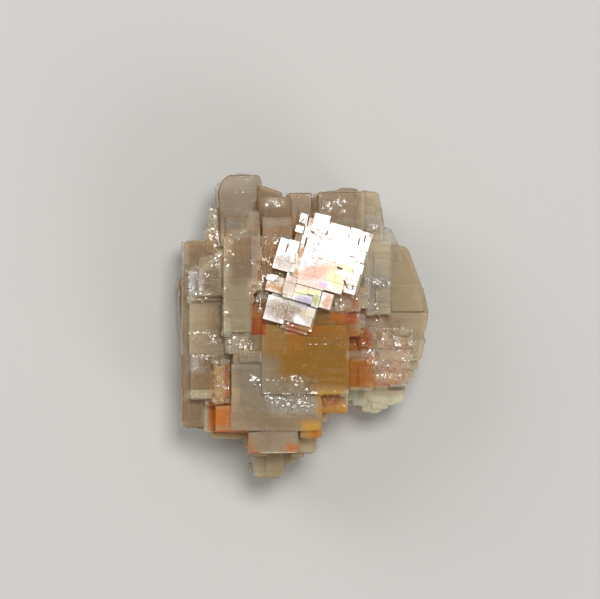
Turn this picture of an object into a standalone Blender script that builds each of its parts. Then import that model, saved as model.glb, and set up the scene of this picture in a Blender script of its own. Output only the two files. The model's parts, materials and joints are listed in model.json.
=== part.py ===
"""Halite (rock salt) cluster: clear stepped cubes grown into each other, lying on its broad back.

One natural solid. A square-set stack of cube blocks rises from a flat base to a broad front crystal, and a
second crystal, turned and tipped against the rest, stands highest. Each block is a prism with worn corners
and a rim, carries thin growth steps, and all of them are joined into one body.

Metres, +Z up. The origin is under the centre of the cluster's box, on the face that it rests on.
The tables below are in millimetres, as MM says.
"""

import math
import random

import bmesh
import bpy
from mathutils import Matrix, Vector

MM = 0.001  # metres in one unit of the tables
NODE = "halite_crystal"
GROWTH_SEED = 22

# The cluster leans: a terrace is carried this far to -X for each millimetre that its top is above MID_HEIGHT.
LEAN = 0.122
MID_HEIGHT = 15.0

TIP_MOST = 0.7  # degrees that one block may stand out of true with its neighbours
RIM = 0.22  # width of the worn rim round a block's top
ROUND_CORNER = 0.5  # from this corner width on, a corner is worn round and not just broken off

# A growth step starts at one corner of its block and stops short of the two far sides.
STEP_RISE = (0.25, 0.55)  # thickness of one growth step
STEP_ROOT = 0.6  # how far it reaches down into its block
STEP_NEAR = (0.30, 0.75)  # how far it stays back from the two near sides
STEP_FAR = (0.12, 0.45)  # how far it stops short of the two far sides, as a share of the side
SMALLEST_STEP = 1.2  # a narrower growth step than this isn't made

# An outer wall is layered: each layer under the top one is set back by its own amount, and a shorter piece
# on it less. A side is an outer wall if it stands outside these limits: x low, x high, y low and y high.
OUTER_FROM = (-14.5, 14.5, -15.2, 18.8)
LAYER_HEIGHT = 4.5  # about the height of one layer
LEVEL_SHIFT = 0.3  # how far a layer's bottom may be off an even spacing, as a share of the height
LAYER_INSET = (0.50, 1.30)
PIECE_INSET = (0.05, 0.45)
PIECE_DROP = (0.0, 0.3)  # how far its ends are drawn in, up and down, as a share of the layer's height
PIECE_SHORTER = (0.10, 0.45)  # how far a piece stops short at one end, as a share of the side
LAYER_TAPER = 0.28  # how much further back each layer stands than the one above
LAYER_OVERLAP = 0.4  # how far a layer reaches up into the one above

# The second crystal: where its middle stands, and how it is turned and tipped against the rest.
TURNED_MIDDLE = (4.5, 13.0)
TURNED_TOP = 29.4
TURNED_SPIN = -15.5
TURNED_TIP_X = -7.0
TURNED_TIP_Y = -3.0

# Blocks of the square-set crystals: x from, x to, y from, y to, z from, z to, corner width, growth steps.
# A table's x is where the block's top stands before the lean.
CORE = {
    "base_left": (-19.0, 6.0, -11.5, 10.0, 0.7, 13.0, 0.8, 0),
    "base_right": (-4.0, 18.6, -10.0, 12.5, 1.2, 13.0, 0.8, 0),
    "base_far_left": (-18.6, -6.0, -17.5, 15.5, 2.4, 14.0, 0.8, 0),
    "base_back": (-11.5, 12.0, 5.0, 22.5, 1.6, 14.0, 0.8, 0),
    "base_front": (-13.0, 1.5, -21.0, -4.0, 0.9, 14.5, 0.8, 0),
    "heart": (-14.0, 14.0, -14.8, 18.2, 3.5, 13.6, 0.5, 0),
    "heart_high": (-13.6, 12.6, -12.5, 17.9, 3.5, 20.6, 0.5, 0),
}
FRONT = {
    "front_body": (-13.8, 9.2, -13.4, 4.0, 8.0, 26.0, 0.25, 2),
    "front_low": (-13.9, 3.6, -20.6, -9.0, 4.5, 25.8, 0.25, 1),
    "front_left": (-16.9, -9.0, -20.8, -15.6, 4.5, 25.5, 0.30, 1),
    "front_tongue": (-10.5, -0.9, -25.0, -16.0, 5.0, 25.3, 0.30, 1),
    "front_amber": (-0.6, 3.9, -22.0, -14.0, 5.5, 24.4, 0.30, 1),
    "red_shelf": (-9.6, -6.8, -1.4, 6.0, 12.0, 24.6, 0.20, 1),
    "patch_ledge": (-15.0, -10.4, -5.2, -1.0, 12.0, 25.0, 0.15, 1),
    "patch_step": (-12.6, -7.9, -7.1, -4.6, 18.0, 26.6, 0.25, 1),
    "rust_column": (-17.6, -14.4, -15.4, -6.6, 8.0, 24.2, 0.15, 2),
    "rust_foot": (-14.1, -12.3, -15.4, -13.0, 18.0, 26.3, 0.10, 0),
    "amber_corner": (4.5, 11.5, -2.0, 3.0, 12.0, 25.4, 0.60, 1),
    "amber_right": (9.3, 14.2, -12.5, -6.4, 6.5, 23.6, 0.25, 1),
    "amber_chip": (11.2, 14.3, -4.2, -0.5, 12.0, 22.4, 0.30, 1),
    "amber_foot": (3.3, 9.0, -17.2, -10.0, 4.5, 20.6, 0.35, 2),
    "foot_nub": (3.3, 5.0, -19.1, -12.0, 6.0, 17.5, 0.35, 0),
    "rose_block": (6.2, 11.6, 2.9, 7.0, 12.0, 26.6, 0.40, 1),
    "rose_side": (10.8, 13.1, 3.6, 7.5, 12.0, 25.4, 0.20, 1),
}
FOOT = {
    "foot": (-9.6, -3.7, -30.1, -15.6, 5.6, 16.4, 1.0, 1),
    "foot_step_a": (-4.6, -3.2, -28.4, -16.0, 4.0, 14.6, 0.25, 0),
    "foot_step_b": (-4.8, -1.2, -27.2, -15.6, 3.0, 16.2, 0.30, 1),
    "foot_step_c": (-2.4, 0.3, -26.1, -15.0, 4.2, 17.6, 0.30, 1),
    "foot_pale": (-1.4, 2.8, -25.2, -12.0, 3.6, 19.4, 0.55, 1),
    "foot_collar": (-10.5, -7.0, -25.6, -15.6, 9.8, 19.0, 0.25, 0),
}
LEFT = {
    "left_face": (-22.4, -13.0, -14.4, 8.4, 3.0, 21.6, 0.25, 2),
    "left_ledge": (-22.3, -14.8, -14.3, -12.4, 5.0, 22.2, 0.15, 0),
    "left_notch": (-19.6, -14.0, -15.7, -10.0, 5.0, 20.6, 0.20, 1),
    "left_back": (-23.9, -13.5, -20.0, 9.9, 9.8, 17.6, 0.60, 2),
    "left_low": (-21.2, -15.4, -20.4, -15.0, 5.8, 16.6, 0.30, 0),
    "left_corner": (-19.8, -13.8, -21.0, -14.0, 4.4, 19.0, 0.55, 1),
    "left_sill": (-18.3, -8.6, -22.3, -15.0, 3.6, 17.4, 0.30, 2),
    "left_shelf": (-19.3, -12.0, 14.5, 19.6, 6.4, 18.8, 0.40, 1),
    "left_wing": (-23.7, -13.5, 10.4, 16.9, 7.4, 17.8, 0.60, 1),
    "left_wing_foot": (-23.9, -13.5, 7.5, 12.4, 5.8, 16.4, 0.30, 1),
    "shoulder_a": (-22.6, -13.0, 5.0, 11.2, 5.0, 22.8, 0.20, 1),
    "face_low": (-15.4, -9.7, -1.4, 10.0, 9.0, 26.8, 0.20, 2),
    "face_high": (-14.1, -8.4, 7.0, 18.2, 9.0, 27.3, 0.25, 1),
    "crown_column": (-18.0, -13.6, 17.6, 23.4, 9.2, 18.8, 0.20, 1),
    "crown_wall": (-15.4, -10.2, 15.5, 22.0, 5.0, 21.8, 0.25, 1),
}
TOP = {
    "top_left": (-8.6, -2.3, 20.0, 25.6, 4.0, 24.4, 0.50, 1),
    "top_left_low": (-8.1, -2.0, 15.0, 21.8, 6.0, 25.3, 0.20, 1),
    "top_brown": (-2.8, 1.9, 18.0, 26.5, 4.2, 24.0, 0.30, 2),
    "top_notch": (0.8, 4.2, 18.0, 25.9, 5.0, 22.8, 0.20, 1),
    "top_middle": (3.1, 12.4, 17.0, 26.7, 3.4, 24.6, 0.30, 2),
    "top_bump": (7.0, 11.2, 22.5, 27.4, 4.4, 21.6, 0.60, 1),
    "stain_gap": (-8.8, -2.0, 3.0, 18.0, 8.0, 25.2, 0.20, 1),
}
RIGHT = {
    "right_column": (12.6, 17.9, 8.1, 17.0, 5.0, 23.0, 0.25, 2),
    "right_column_low": (12.4, 17.7, 2.4, 8.6, 5.4, 22.0, 0.25, 1),
    "right_under_plate": (9.5, 13.4, 5.5, 18.0, 8.0, 25.4, 0.20, 1),
    "crust_high": (12.0, 22.3, -4.4, -0.3, 4.2, 21.4, 0.25, 2),
    "crust_middle": (12.0, 21.6, -8.4, -3.8, 3.6, 20.6, 0.25, 2),
    "crust_low": (12.0, 21.0, -12.0, -7.6, 3.2, 19.8, 0.25, 2),
    "edge_a": (19.0, 23.4, -8.7, -2.0, 4.0, 16.6, 0.35, 0),
    "edge_b": (18.0, 22.4, -10.1, -3.0, 3.4, 15.6, 0.30, 0),
    "edge_c": (17.0, 21.6, -11.4, -4.0, 4.4, 14.8, 0.30, 0),
    "pale_step_b": (11.9, 16.1, -17.2, -9.0, 4.4, 12.6, 0.60, 1),
    "pale_step_c": (14.0, 17.3, -16.6, -9.0, 5.0, 13.4, 0.30, 0),
    "pale_step_d": (10.1, 13.0, -15.9, -9.0, 4.2, 14.4, 0.40, 0),
    "pale_step_e": (8.0, 11.0, -14.8, -9.0, 5.8, 16.4, 0.20, 0),
}

# Blocks whose outline isn't square: outline points, z from, z to, corner width, growth steps.
SHAPED = {
    "base": (
        [
            (-16.6, -9.4), (-12.6, -9.8), (-12.2, -16.6), (2.4, -17.4), (3.2, -14.6), (13.0, -14.9),
            (15.6, -6.2), (16.6, 5.8), (12.4, 8.2), (11.4, 17.4), (-7.8, 18.8), (-9.2, 14.4), (-16.2, 13.4),
        ],
        0.0, 12.0, 0.30, 0,
    ),
    "left_underside": (
        [(-24.8, 9.8), (-24.3, -3.0), (-23.3, -13.6), (-13.0, -13.6), (-13.0, 9.8)],
        5.2, 11.0, 0.30, 0,
    ),
    "left_underside_low": (
        [(-22.9, -12.0), (-22.6, -19.2), (-18.0, -20.2), (-13.0, -20.2), (-13.0, -12.0)],
        4.2, 11.4, 0.30, 0,
    ),
    "crown": (
        [
            (-16.4, 16.0), (-16.9, 27.0), (-16.2, 28.8), (-14.8, 30.1), (-8.7, 30.1), (-8.1, 28.2), (-7.6, 16.0),
        ],
        5.0, 20.2, 0.35, 1,
    ),
    "crown_slope": ([(-9.5, 17.0), (-9.0, 28.1), (-8.0, 28.0), (-4.1, 26.6), (-3.4, 17.0)], 3.8, 21.0, 0.20, 1),
    "top_right": (
        [(11.4, 16.0), (11.6, 26.9), (14.6, 26.8), (15.3, 26.2), (16.2, 19.4), (16.2, 16.0)],
        4.0, 22.8, 0.30, 1,
    ),
    "right_tab": ([(14.5, 13.0), (14.8, 19.6), (17.8, 19.6), (19.4, 16.1), (19.4, 13.0)], 4.6, 17.8, 0.35, 1),
    "wing_upper": (
        [(12.0, 7.0), (12.0, 16.2), (20.2, 16.1), (21.2, 15.5), (22.4, 12.4), (24.3, 7.4), (24.3, 6.2)],
        4.0, 18.4, 0.25, 1,
    ),
    "wing_middle": (
        [(12.0, 1.0), (12.0, 8.1), (24.05, 8.1), (25.1, 4.7), (25.35, 3.0), (25.2, 1.0)],
        3.4, 17.8, 0.20, 1,
    ),
    "wing_lower": (
        [
            (12.0, -7.0), (12.0, 2.7), (25.4, 2.7), (25.0, 0.2), (24.4, -1.4), (24.6, -3.2), (23.9, -6.6),
            (22.0, -7.0),
        ],
        3.9, 18.8, 0.25, 1,
    ),
    "pale_step_a": (
        [(11.0, -8.0), (11.9, -14.6), (17.4, -16.0), (20.4, -15.2), (20.9, -12.0), (20.6, -8.0)],
        3.0, 14.0, 0.25, 1,
    ),
    "shoulder_b": (
        [
            (-21.0, 6.0), (-20.6, 11.7), (-18.2, 13.0), (-16.8, 15.1), (-13.8, 16.1), (-11.0, 12.0), (-11.0, 6.0),
        ],
        8.0, 24.6, 0.15, 1,
    ),
    "shoulder_c": (
        [(-14.6, 8.0), (-13.5, 17.2), (-11.4, 19.1), (-10.3, 22.7), (-8.5, 22.8), (-8.2, 8.0)],
        9.0, 26.0, 0.15, 1,
    ),
}

# Pieces of the turned crystal, in its own square frame about its middle: x from, x to, y from, y to,
# how far its top is under TURNED_TOP, corner width, growth steps.
TURNED_DEPTH = 11.0
TURNED_RIM = 0.10
TURNED = {
    "plate_main": (-6.3, 7.8, -4.8, 7.7, 0.0, 0.15, 1),
    "plate_left": (-9.6, -5.4, -3.9, 1.9, 0.5, 0.15, 1),
    "plate_top": (-4.2, -1.2, 4.0, 8.9, 0.3, 0.12, 0),
    "plate_tab": (-7.0, -5.7, 1.0, 7.9, 0.7, 0.10, 0),
    "plate_low": (-6.4, 3.6, -9.2, -4.0, 0.8, 0.15, 1),
    "plate_foot": (-8.5, 1.1, -14.2, -8.6, 2.2, 0.25, 1),
    "plate_toe": (-5.2, 0.4, -14.9, -10.0, 2.8, 0.15, 0),
    "plate_bit_a": (-9.8, -7.9, -6.2, -5.0, 1.9, 0.10, 0),
    "plate_bit_b": (-9.0, -6.0, -8.4, -6.8, 2.6, 0.10, 0),
}


def prism(outline, low, high, corner, rim):
    """A closed prism over an outline. Its uprights are worn by corner, then its top's rim by rim."""
    bm = bmesh.new()
    floor = bm.faces.new([bm.verts.new((x, y, low)) for x, y in outline])
    grown = bmesh.ops.extrude_face_region(bm, geom=[floor])["geom"]
    lid = [item for item in grown if isinstance(item, bmesh.types.BMVert)]
    bmesh.ops.translate(bm, vec=(0, 0, high - low), verts=lid)
    bmesh.ops.recalc_face_normals(bm, faces=bm.faces)
    middle = (low + high) / 2
    uprights = [e for e in bm.edges if (e.verts[0].co.z < middle) != (e.verts[1].co.z < middle)]
    wear = {"profile": 0.5, "affect": "EDGES", "clamp_overlap": True}
    if corner:
        segments = 2 if corner >= ROUND_CORNER else 1
        bmesh.ops.bevel(bm, geom=uprights, offset=corner, segments=segments, **wear)
    if rim:
        edge = [e for e in bm.edges if min(v.co.z for v in e.verts) > middle]
        bmesh.ops.bevel(bm, geom=edge, offset=rim, segments=1, **wear)
    return bm


def square(x_low, x_high, y_low, y_high):
    return [(x_low, y_low), (x_high, y_low), (x_high, y_high), (x_low, y_high)]


def set_back(outline, left, right, down, up):
    """The outline drawn in so that its box is smaller by these amounts on its four sides."""
    xs, ys = zip(*outline)
    x_low, x_high, y_low, y_high = min(xs), max(xs), min(ys), max(ys)
    x_share = 1 - (left + right) / (x_high - x_low)
    y_share = 1 - (down + up) / (y_high - y_low)
    return [(x_low + left + (x - x_low) * x_share, y_low + down + (y - y_low) * y_share) for x, y in outline]


def middle_of(outline):
    xs, ys = zip(*outline)
    return Vector(((min(xs) + max(xs)) / 2, (min(ys) + max(ys)) / 2, 0))


def turned_about(point, spin, tip_x, tip_y):
    """The matrix that turns by spin about Z, then tips about X and Y, all about a point. Degrees."""
    turn = (
        Matrix.Rotation(math.radians(tip_y), 4, "Y")
        @ Matrix.Rotation(math.radians(tip_x), 4, "X")
        @ Matrix.Rotation(math.radians(spin), 4, "Z")
    )
    return Matrix.Translation(point) @ turn @ Matrix.Translation(-point)


class Cluster:
    """Collects the blocks as closed meshes, in millimetres, until they are joined."""

    def __init__(self, seed):
        self.pieces = []
        self.random = random.Random(seed)

    def add(self, name, bm, matrix):
        bmesh.ops.transform(bm, matrix=matrix, verts=bm.verts)
        mesh = bpy.data.meshes.new(name)
        bm.to_mesh(mesh)
        bm.free()
        self.pieces.append((name, mesh))

    def between(self, limits):
        return self.random.uniform(*limits)

    def growth_steps(self, name, outline, top, count, matrix):
        """Thin plates on a block's top, one on the other. On a square block they start from one corner."""
        xs, ys = zip(*outline)
        sides = [min(xs), max(xs), min(ys), max(ys)]
        near = [self.random.choice((0, 1)), self.random.choice((2, 3))] if len(outline) == 4 else []
        shape = outline
        for i in range(count):
            spans = [sides[1] - sides[0], sides[3] - sides[2]]
            insets = [
                self.between(STEP_NEAR) if side in near else self.between(STEP_FAR) * spans[side // 2]
                for side in range(4)
            ]
            for side, inset in enumerate(insets):
                sides[side] += inset if side in (0, 2) else -inset
            shape = set_back(shape, *insets)
            if min(sides[1] - sides[0], sides[3] - sides[2]) < SMALLEST_STEP:
                return
            rise = self.between(STEP_RISE)
            self.add(f"{name}_step_{i}", prism(shape, top - STEP_ROOT, top + rise, 0.0, 0.0), matrix)
            top += rise

    def wall_layers(self, name, outline, low, high, matrix):
        """The layers under a block's top one: from the bottom up, each set back by its own amounts."""
        count = round((high - low) / LAYER_HEIGHT)
        xs, ys = zip(*outline)
        long, wide = max(ys) - min(ys), max(xs) - min(xs)
        x_from, x_to, y_from, y_to = OUTER_FROM
        outer = [min(xs) < x_from, max(xs) > x_to, min(ys) < y_from, max(ys) > y_to]
        if count < 2 or not any(outer):
            return low
        thick = (high - low) / count
        shifts = [self.random.uniform(-LEVEL_SHIFT, LEVEL_SHIFT) for _ in range(1, count)]
        levels = [low] + [low + thick * (i + shift) for i, shift in enumerate(shifts, 1)]
        for i, (bottom, top) in enumerate(zip(levels, levels[1:])):
            taper = LAYER_TAPER * (count - 2 - i)
            insets = [(self.between(LAYER_INSET) + taper) * wall for wall in outer]
            layer = prism(set_back(outline, *insets), bottom, top + LAYER_OVERLAP, 0.0, 0.0)
            self.add(f"{name}_layer_{i}", layer, matrix)
            insets = [(self.between(PIECE_INSET) + taper) * wall for wall in outer]
            along = 2 if outer[0] or outer[1] else 0
            end = along + self.random.choice((0, 1))
            insets[end] = max(insets[end], self.between(PIECE_SHORTER) * (long if along else wide))
            drop = thick * self.between(PIECE_DROP)
            piece = prism(set_back(outline, *insets), bottom + drop, top + LAYER_OVERLAP - drop, 0.0, 0.0)
            self.add(f"{name}_piece_{i}", piece, matrix)
        return levels[-1]

    def block(self, name, outline, low, high, corner, steps):
        """One cube block of the square-set crystals, a little out of true, with its wall and growth steps."""
        carried = Matrix.Translation((-LEAN * (high - MID_HEIGHT), 0, 0))
        flat = name == "base"
        tips = [0.0 if flat else self.random.uniform(-TIP_MOST, TIP_MOST) for _ in range(3)]
        pivot = middle_of(outline) + Vector((0, 0, high))
        matrix = carried @ turned_about(pivot, *tips)
        bottom = low if flat else self.wall_layers(name, outline, low, high, matrix)
        self.add(name, prism(outline, bottom, high, corner, RIM), matrix)
        self.growth_steps(name, outline, high, steps, matrix)

    def turned_block(self, name, sides, sunk, corner, steps):
        """One piece of the turned crystal."""
        carried = Matrix.Translation((-LEAN * (TURNED_TOP - MID_HEIGHT), 0, 0))
        origin = Matrix.Translation((*TURNED_MIDDLE, TURNED_TOP))
        matrix = carried @ origin @ turned_about(Vector((0, 0, 0)), TURNED_SPIN, TURNED_TIP_X, TURNED_TIP_Y)
        outline = square(*sides)
        self.add(name, prism(outline, -TURNED_DEPTH, -sunk, corner, TURNED_RIM), matrix)
        self.growth_steps(name, outline, -sunk, steps, matrix)

    def joined(self, name):
        """One object: the base, with a Boolean that adds all the others. Its box is centred on the origin."""
        corners = [v.co for _, mesh in self.pieces for v in mesh.vertices]
        low = Vector(map(min, *corners))
        high = Vector(map(max, *corners))
        under_middle = Vector(((low.x + high.x) / 2, (low.y + high.y) / 2, low.z))
        to_frame = Matrix.Scale(MM, 4) @ Matrix.Translation(-under_middle)
        helpers = bpy.data.collections.new("blocks")
        bpy.context.scene.collection.children.link(helpers)
        for piece, mesh in self.pieces:
            mesh.transform(to_frame)
            obj = bpy.data.objects.new(name if piece == "base" else piece, mesh)
            if piece == "base":
                bpy.context.scene.collection.objects.link(obj)
                body = obj
            else:
                helpers.objects.link(obj)
                obj.hide_render = True
                obj.display_type = "WIRE"
        union = body.modifiers.new("grown together", "BOOLEAN")
        union.operation = "UNION"
        union.operand_type = "COLLECTION"
        union.collection = helpers
        union.solver = "EXACT"
        union.use_self = False
        return body


def halite_material():
    """Clear rock salt, faintly smoky."""
    material = bpy.data.materials.new("halite")
    material.use_nodes = True
    shader = material.node_tree.nodes["Principled BSDF"]
    shader.inputs["Base Color"].default_value = (0.62, 0.53, 0.43, 1)
    shader.inputs["Roughness"].default_value = 0.15
    shader.inputs["Metallic"].default_value = 0.0
    shader.inputs["IOR"].default_value = 1.544
    shader.inputs["Transmission Weight"].default_value = 0.7
    return material


def main():
    for obj in list(bpy.data.objects):
        bpy.data.objects.remove(obj)
    cluster = Cluster(GROWTH_SEED)
    for table in (CORE, FRONT, FOOT, LEFT, TOP, RIGHT):
        for name, (x_low, x_high, y_low, y_high, low, high, corner, steps) in table.items():
            cluster.block(name, square(x_low, x_high, y_low, y_high), low, high, corner, steps)
    for name, (outline, low, high, corner, steps) in SHAPED.items():
        cluster.block(name, outline, low, high, corner, steps)
    for name, (x_low, x_high, y_low, y_high, sunk, corner, steps) in TURNED.items():
        cluster.turned_block(name, (x_low, x_high, y_low, y_high), sunk, corner, steps)
    crystal = cluster.joined(NODE)
    crystal.data.materials.append(halite_material())


main()
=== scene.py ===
"""A halite (rock salt) cluster on a pale studio floor: clear stepped cubes, stained amber in their joints,
and one turned crystal whose cleaved top is split into bright sheets."""
import json
import math

import bmesh
import bpy
import numpy as np
from mathutils import Matrix, Vector
from mathutils.bvhtree import BVHTree

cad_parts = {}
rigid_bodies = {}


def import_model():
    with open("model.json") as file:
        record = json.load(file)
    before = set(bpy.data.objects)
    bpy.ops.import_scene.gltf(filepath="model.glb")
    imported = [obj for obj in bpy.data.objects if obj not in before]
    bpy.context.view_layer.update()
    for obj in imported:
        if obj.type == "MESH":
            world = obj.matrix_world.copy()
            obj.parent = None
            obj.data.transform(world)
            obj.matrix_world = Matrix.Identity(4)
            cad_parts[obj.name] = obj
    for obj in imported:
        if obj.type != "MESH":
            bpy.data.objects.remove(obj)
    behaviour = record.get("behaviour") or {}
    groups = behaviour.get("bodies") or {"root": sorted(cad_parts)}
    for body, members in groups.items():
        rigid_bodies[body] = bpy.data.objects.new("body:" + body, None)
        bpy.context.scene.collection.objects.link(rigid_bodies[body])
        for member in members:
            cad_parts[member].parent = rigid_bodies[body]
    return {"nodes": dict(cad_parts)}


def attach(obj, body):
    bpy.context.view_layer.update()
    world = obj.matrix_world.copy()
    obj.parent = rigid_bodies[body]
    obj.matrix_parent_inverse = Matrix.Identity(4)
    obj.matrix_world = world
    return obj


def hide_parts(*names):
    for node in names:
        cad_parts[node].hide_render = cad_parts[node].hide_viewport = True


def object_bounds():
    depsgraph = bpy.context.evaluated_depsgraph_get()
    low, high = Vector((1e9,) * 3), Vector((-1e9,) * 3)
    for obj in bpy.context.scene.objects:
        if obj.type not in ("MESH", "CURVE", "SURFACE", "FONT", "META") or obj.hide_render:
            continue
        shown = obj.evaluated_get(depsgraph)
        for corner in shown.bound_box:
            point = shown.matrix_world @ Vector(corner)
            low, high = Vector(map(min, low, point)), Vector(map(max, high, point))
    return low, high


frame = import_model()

cad_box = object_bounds()

# ---- The view --------------------------------------------------------
# The cluster lies on its broad back and is looked at from above, a little from its left, so places on its
# front are given as seen: across and up in millimetres from the front's middle, at a height above the floor.
MM = 0.001
VIEW_LEAN = math.radians(7.0)  # how far the camera stands to the left of straight above
SEEN_HEIGHT = 15.0  # the height at which across and x agree
ACROSS_SHIFT = 0.63
FRAME_WIDTH = 120.0  # what the picture takes in at the object
FRAME_MIDDLE = (-0.2, 5.4)
CAMERA_DISTANCE = 0.9
SENSOR = 36.0
ABOVE = 40.0  # a height over the whole cluster, where rays start


def seen_point(across, up, height):
    """The point in the frame, in millimetres, that is seen at (across, up) and stands at this height."""
    x = (across - ACROSS_SHIFT - (height - SEEN_HEIGHT) * math.sin(VIEW_LEAN)) / math.cos(VIEW_LEAN)
    return np.array([x, up, height])


scene = bpy.context.scene
lens = bpy.data.cameras.new("camera")
lens.sensor_width = SENSOR
lens.lens = SENSOR * CAMERA_DISTANCE / (FRAME_WIDTH * MM)
camera = bpy.data.objects.new("camera", lens)
scene.collection.objects.link(camera)
back = Vector((-math.sin(VIEW_LEAN), 0, math.cos(VIEW_LEAN)))
right = Vector((math.cos(VIEW_LEAN), 0, math.sin(VIEW_LEAN)))
aim = Vector(seen_point(*FRAME_MIDDLE, SEEN_HEIGHT)) * MM
camera.matrix_world = Matrix.Translation(aim + back * CAMERA_DISTANCE) @ Matrix(
    (right, Vector((0, 1, 0)), back)
).transposed().to_4x4()
scene.camera = camera
scene.view_settings.view_transform = "Standard"

# ---- The studio ------------------------------------------------------
# A pale paper floor, an even pale surround, two soft fill lights, and one small soft light that stands where
# the turned crystal mirrors it, as a collector tips a specimen until one face flashes.
TURNED_SPIN = math.radians(-15.5)
TURNED_TIP_X = math.radians(-7.0)
TURNED_TIP_Y = math.radians(-3.0)
turned = Matrix.Rotation(TURNED_TIP_Y, 3, "Y") @ Matrix.Rotation(TURNED_TIP_X, 3, "X") @ Matrix.Rotation(
    TURNED_SPIN, 3, "Z"
)
turned_normal = turned @ Vector((0, 0, 1))
KEY_DISTANCE = 1.2
KEY_SIZE = 0.34
KEY_POWER = 10.0
FILL_DISTANCE = 1.0
FILL_SIZE = 0.5
FILLS = {"side light": ((-1.0, 0.6, 0.8), 3.6), "front light": ((0.8, -0.9, 0.8), 2.6)}  # direction, power
SURROUND = (1.0, 0.98, 0.95, 1)
SURROUND_STRENGTH = 0.30
FLOOR_REACH = 1.5
FLOOR_COLOUR = (0.50, 0.49, 0.47, 1)
PAPER_ROUGHNESS = 0.9


def area_light(name, direction, distance, size, power):
    """A square light that faces the object from a direction."""
    data = bpy.data.lights.new(name, "AREA")
    data.size = size
    data.energy = power
    light = bpy.data.objects.new(name, data)
    scene.collection.objects.link(light)
    light.location = aim + direction.normalized() * distance
    light.rotation_mode = "QUATERNION"
    light.rotation_quaternion = direction.to_track_quat("Z", "Y")


area_light("key", 2 * turned_normal.dot(back) * turned_normal - back, KEY_DISTANCE, KEY_SIZE, KEY_POWER)
for name, (direction, power) in FILLS.items():
    area_light(name, Vector(direction), FILL_DISTANCE, FILL_SIZE, power)

world = bpy.data.worlds.new("surround")
world.use_nodes = True
glow = world.node_tree.nodes["Background"].inputs
glow["Color"].default_value = SURROUND
glow["Strength"].default_value = SURROUND_STRENGTH
scene.world = world

floor_mesh = bpy.data.meshes.new("floor")
floor_corners = [(x * FLOOR_REACH, y * FLOOR_REACH, 0) for x, y in ((-1, -1), (1, -1), (1, 1), (-1, 1))]
floor_mesh.from_pydata(floor_corners, [], [(0, 1, 2, 3)])
floor = bpy.data.objects.new("floor", floor_mesh)
scene.collection.objects.link(floor)
floor_paper = bpy.data.materials.new("floor paper")
floor_paper.use_nodes = True
finish = floor_paper.node_tree.nodes["Principled BSDF"].inputs
finish["Base Color"].default_value = FLOOR_COLOUR
finish["Roughness"].default_value = PAPER_ROUGHNESS
floor_mesh.materials.append(floor_paper)

# ---- The crystal's body ----------------------------------------------
# Rock salt, grown as cubes into each other. Every face carries growth plates a tenth to a quarter of a
# millimetre thick, and where growth stopped and started again there are crusts of small cubes.
GROWTH_SEED = 41
GRID = 0.4  # spacing of the rays that read a side of the cluster
FLAT = 0.10  # how far a growth plate's bed may be off flat
FACING = 0.985  # cosine: how squarely a bed faces its side
SAME_WAY = 0.9995  # cosine: a face that lies this close to the turned crystal's top is part of it
PLATES = {"top": 60, "left": 50, "right": 60, "front": 60, "back": 60}
PLATE_TRIES = 3  # tries for each plate
PLATE_SPAN = (2.5, 13.0)  # the most ground that a plate looks over
PLATE_GROUND = 1.4  # less ground carries no plate
PLATE_NEAR = (0.1, 0.4)  # how far it stays back from the near sides of its ground
PLATE_FAR = (0.1, 0.6)  # and from the far sides, as a share of the ground
PLATE_LEAST = 0.5
PLATE_RISE = (0.06, 0.24)
PLATE_ROOT = 0.35
PLATE_WORN = (0.4, 0.06)  # how much of a rim is worn: a share of the rise, and the most
# Faces that grew smooth, as seen: across from, to, up from, to. They carry no plates.
SMOOTH = [
    (-14.0, 9.3, -13.4, 4.0), (-14.5, 3.4, -24.8, -13.0), (-15.4, -8.4, 0.0, 18.0), (17.5, 25.4, -3.0, 13.0),
    (-16.5, -8.5, 18.0, 31.0), (3.4, 14.5, -14.0, 8.0),
]
# The cluster's sides: the directions across and up each. Its outward one is square to both.
SIDES = {
    "top": ((1, 0, 0), (0, 1, 0)),
    "left": ((0, -1, 0), (0, 0, 1)),
    "right": ((0, 1, 0), (0, 0, 1)),
    "front": ((1, 0, 0), (0, 0, 1)),
    "back": ((-1, 0, 0), (0, 0, 1)),
}
FAR = 60.0

growth = np.random.default_rng(GROWTH_SEED)
solid = frame["nodes"]["halite_crystal"]
whole = bmesh.new()
whole.from_mesh(solid.data)
bmesh.ops.remove_doubles(whole, verts=whole.verts, dist=1e-6)
for vertex in whole.verts:
    vertex.co /= MM
surface = BVHTree.FromBMesh(whole)
low = np.array(cad_box[0]) / MM
high = np.array(cad_box[1]) / MM


def side_heights(across, up, out):
    """How far the cluster reaches along out, read by parallel rays on a grid of across and up."""
    reach = [sum(abs(axis[i]) * (high[i] - low[i]) for i in range(3)) / 2 for axis in (across, up)]
    middle = Vector((low + high) / 2)
    a = np.arange(-reach[0], reach[0], GRID)
    b = np.arange(-reach[1], reach[1], GRID)
    heights = np.full((len(a), len(b)), -FAR)
    normals = np.zeros((len(a), len(b), 3))
    for i, s in enumerate(a):
        for j, t in enumerate(b):
            hit, normal, _, _ = surface.ray_cast(middle + across * s + up * t + out * FAR, -out)
            if hit is not None:
                heights[i, j] = (hit - middle).dot(out)
                normals[i, j] = normal
    return a, b, heights, normals, middle


# One plate: its foot ring, its shoulder ring and its top ring, so that the top's rim is worn.
RING = np.array([(-1, -1), (1, -1), (1, 1), (-1, 1)], float)
PLATE_FACES = [(3, 2, 1, 0)]
for ring in (0, 4):
    PLATE_FACES += [(ring + k, ring + (k + 1) % 4, ring + 4 + (k + 1) % 4, ring + 4 + k) for k in range(4)]
PLATE_FACES.append((8, 9, 10, 11))


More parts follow.
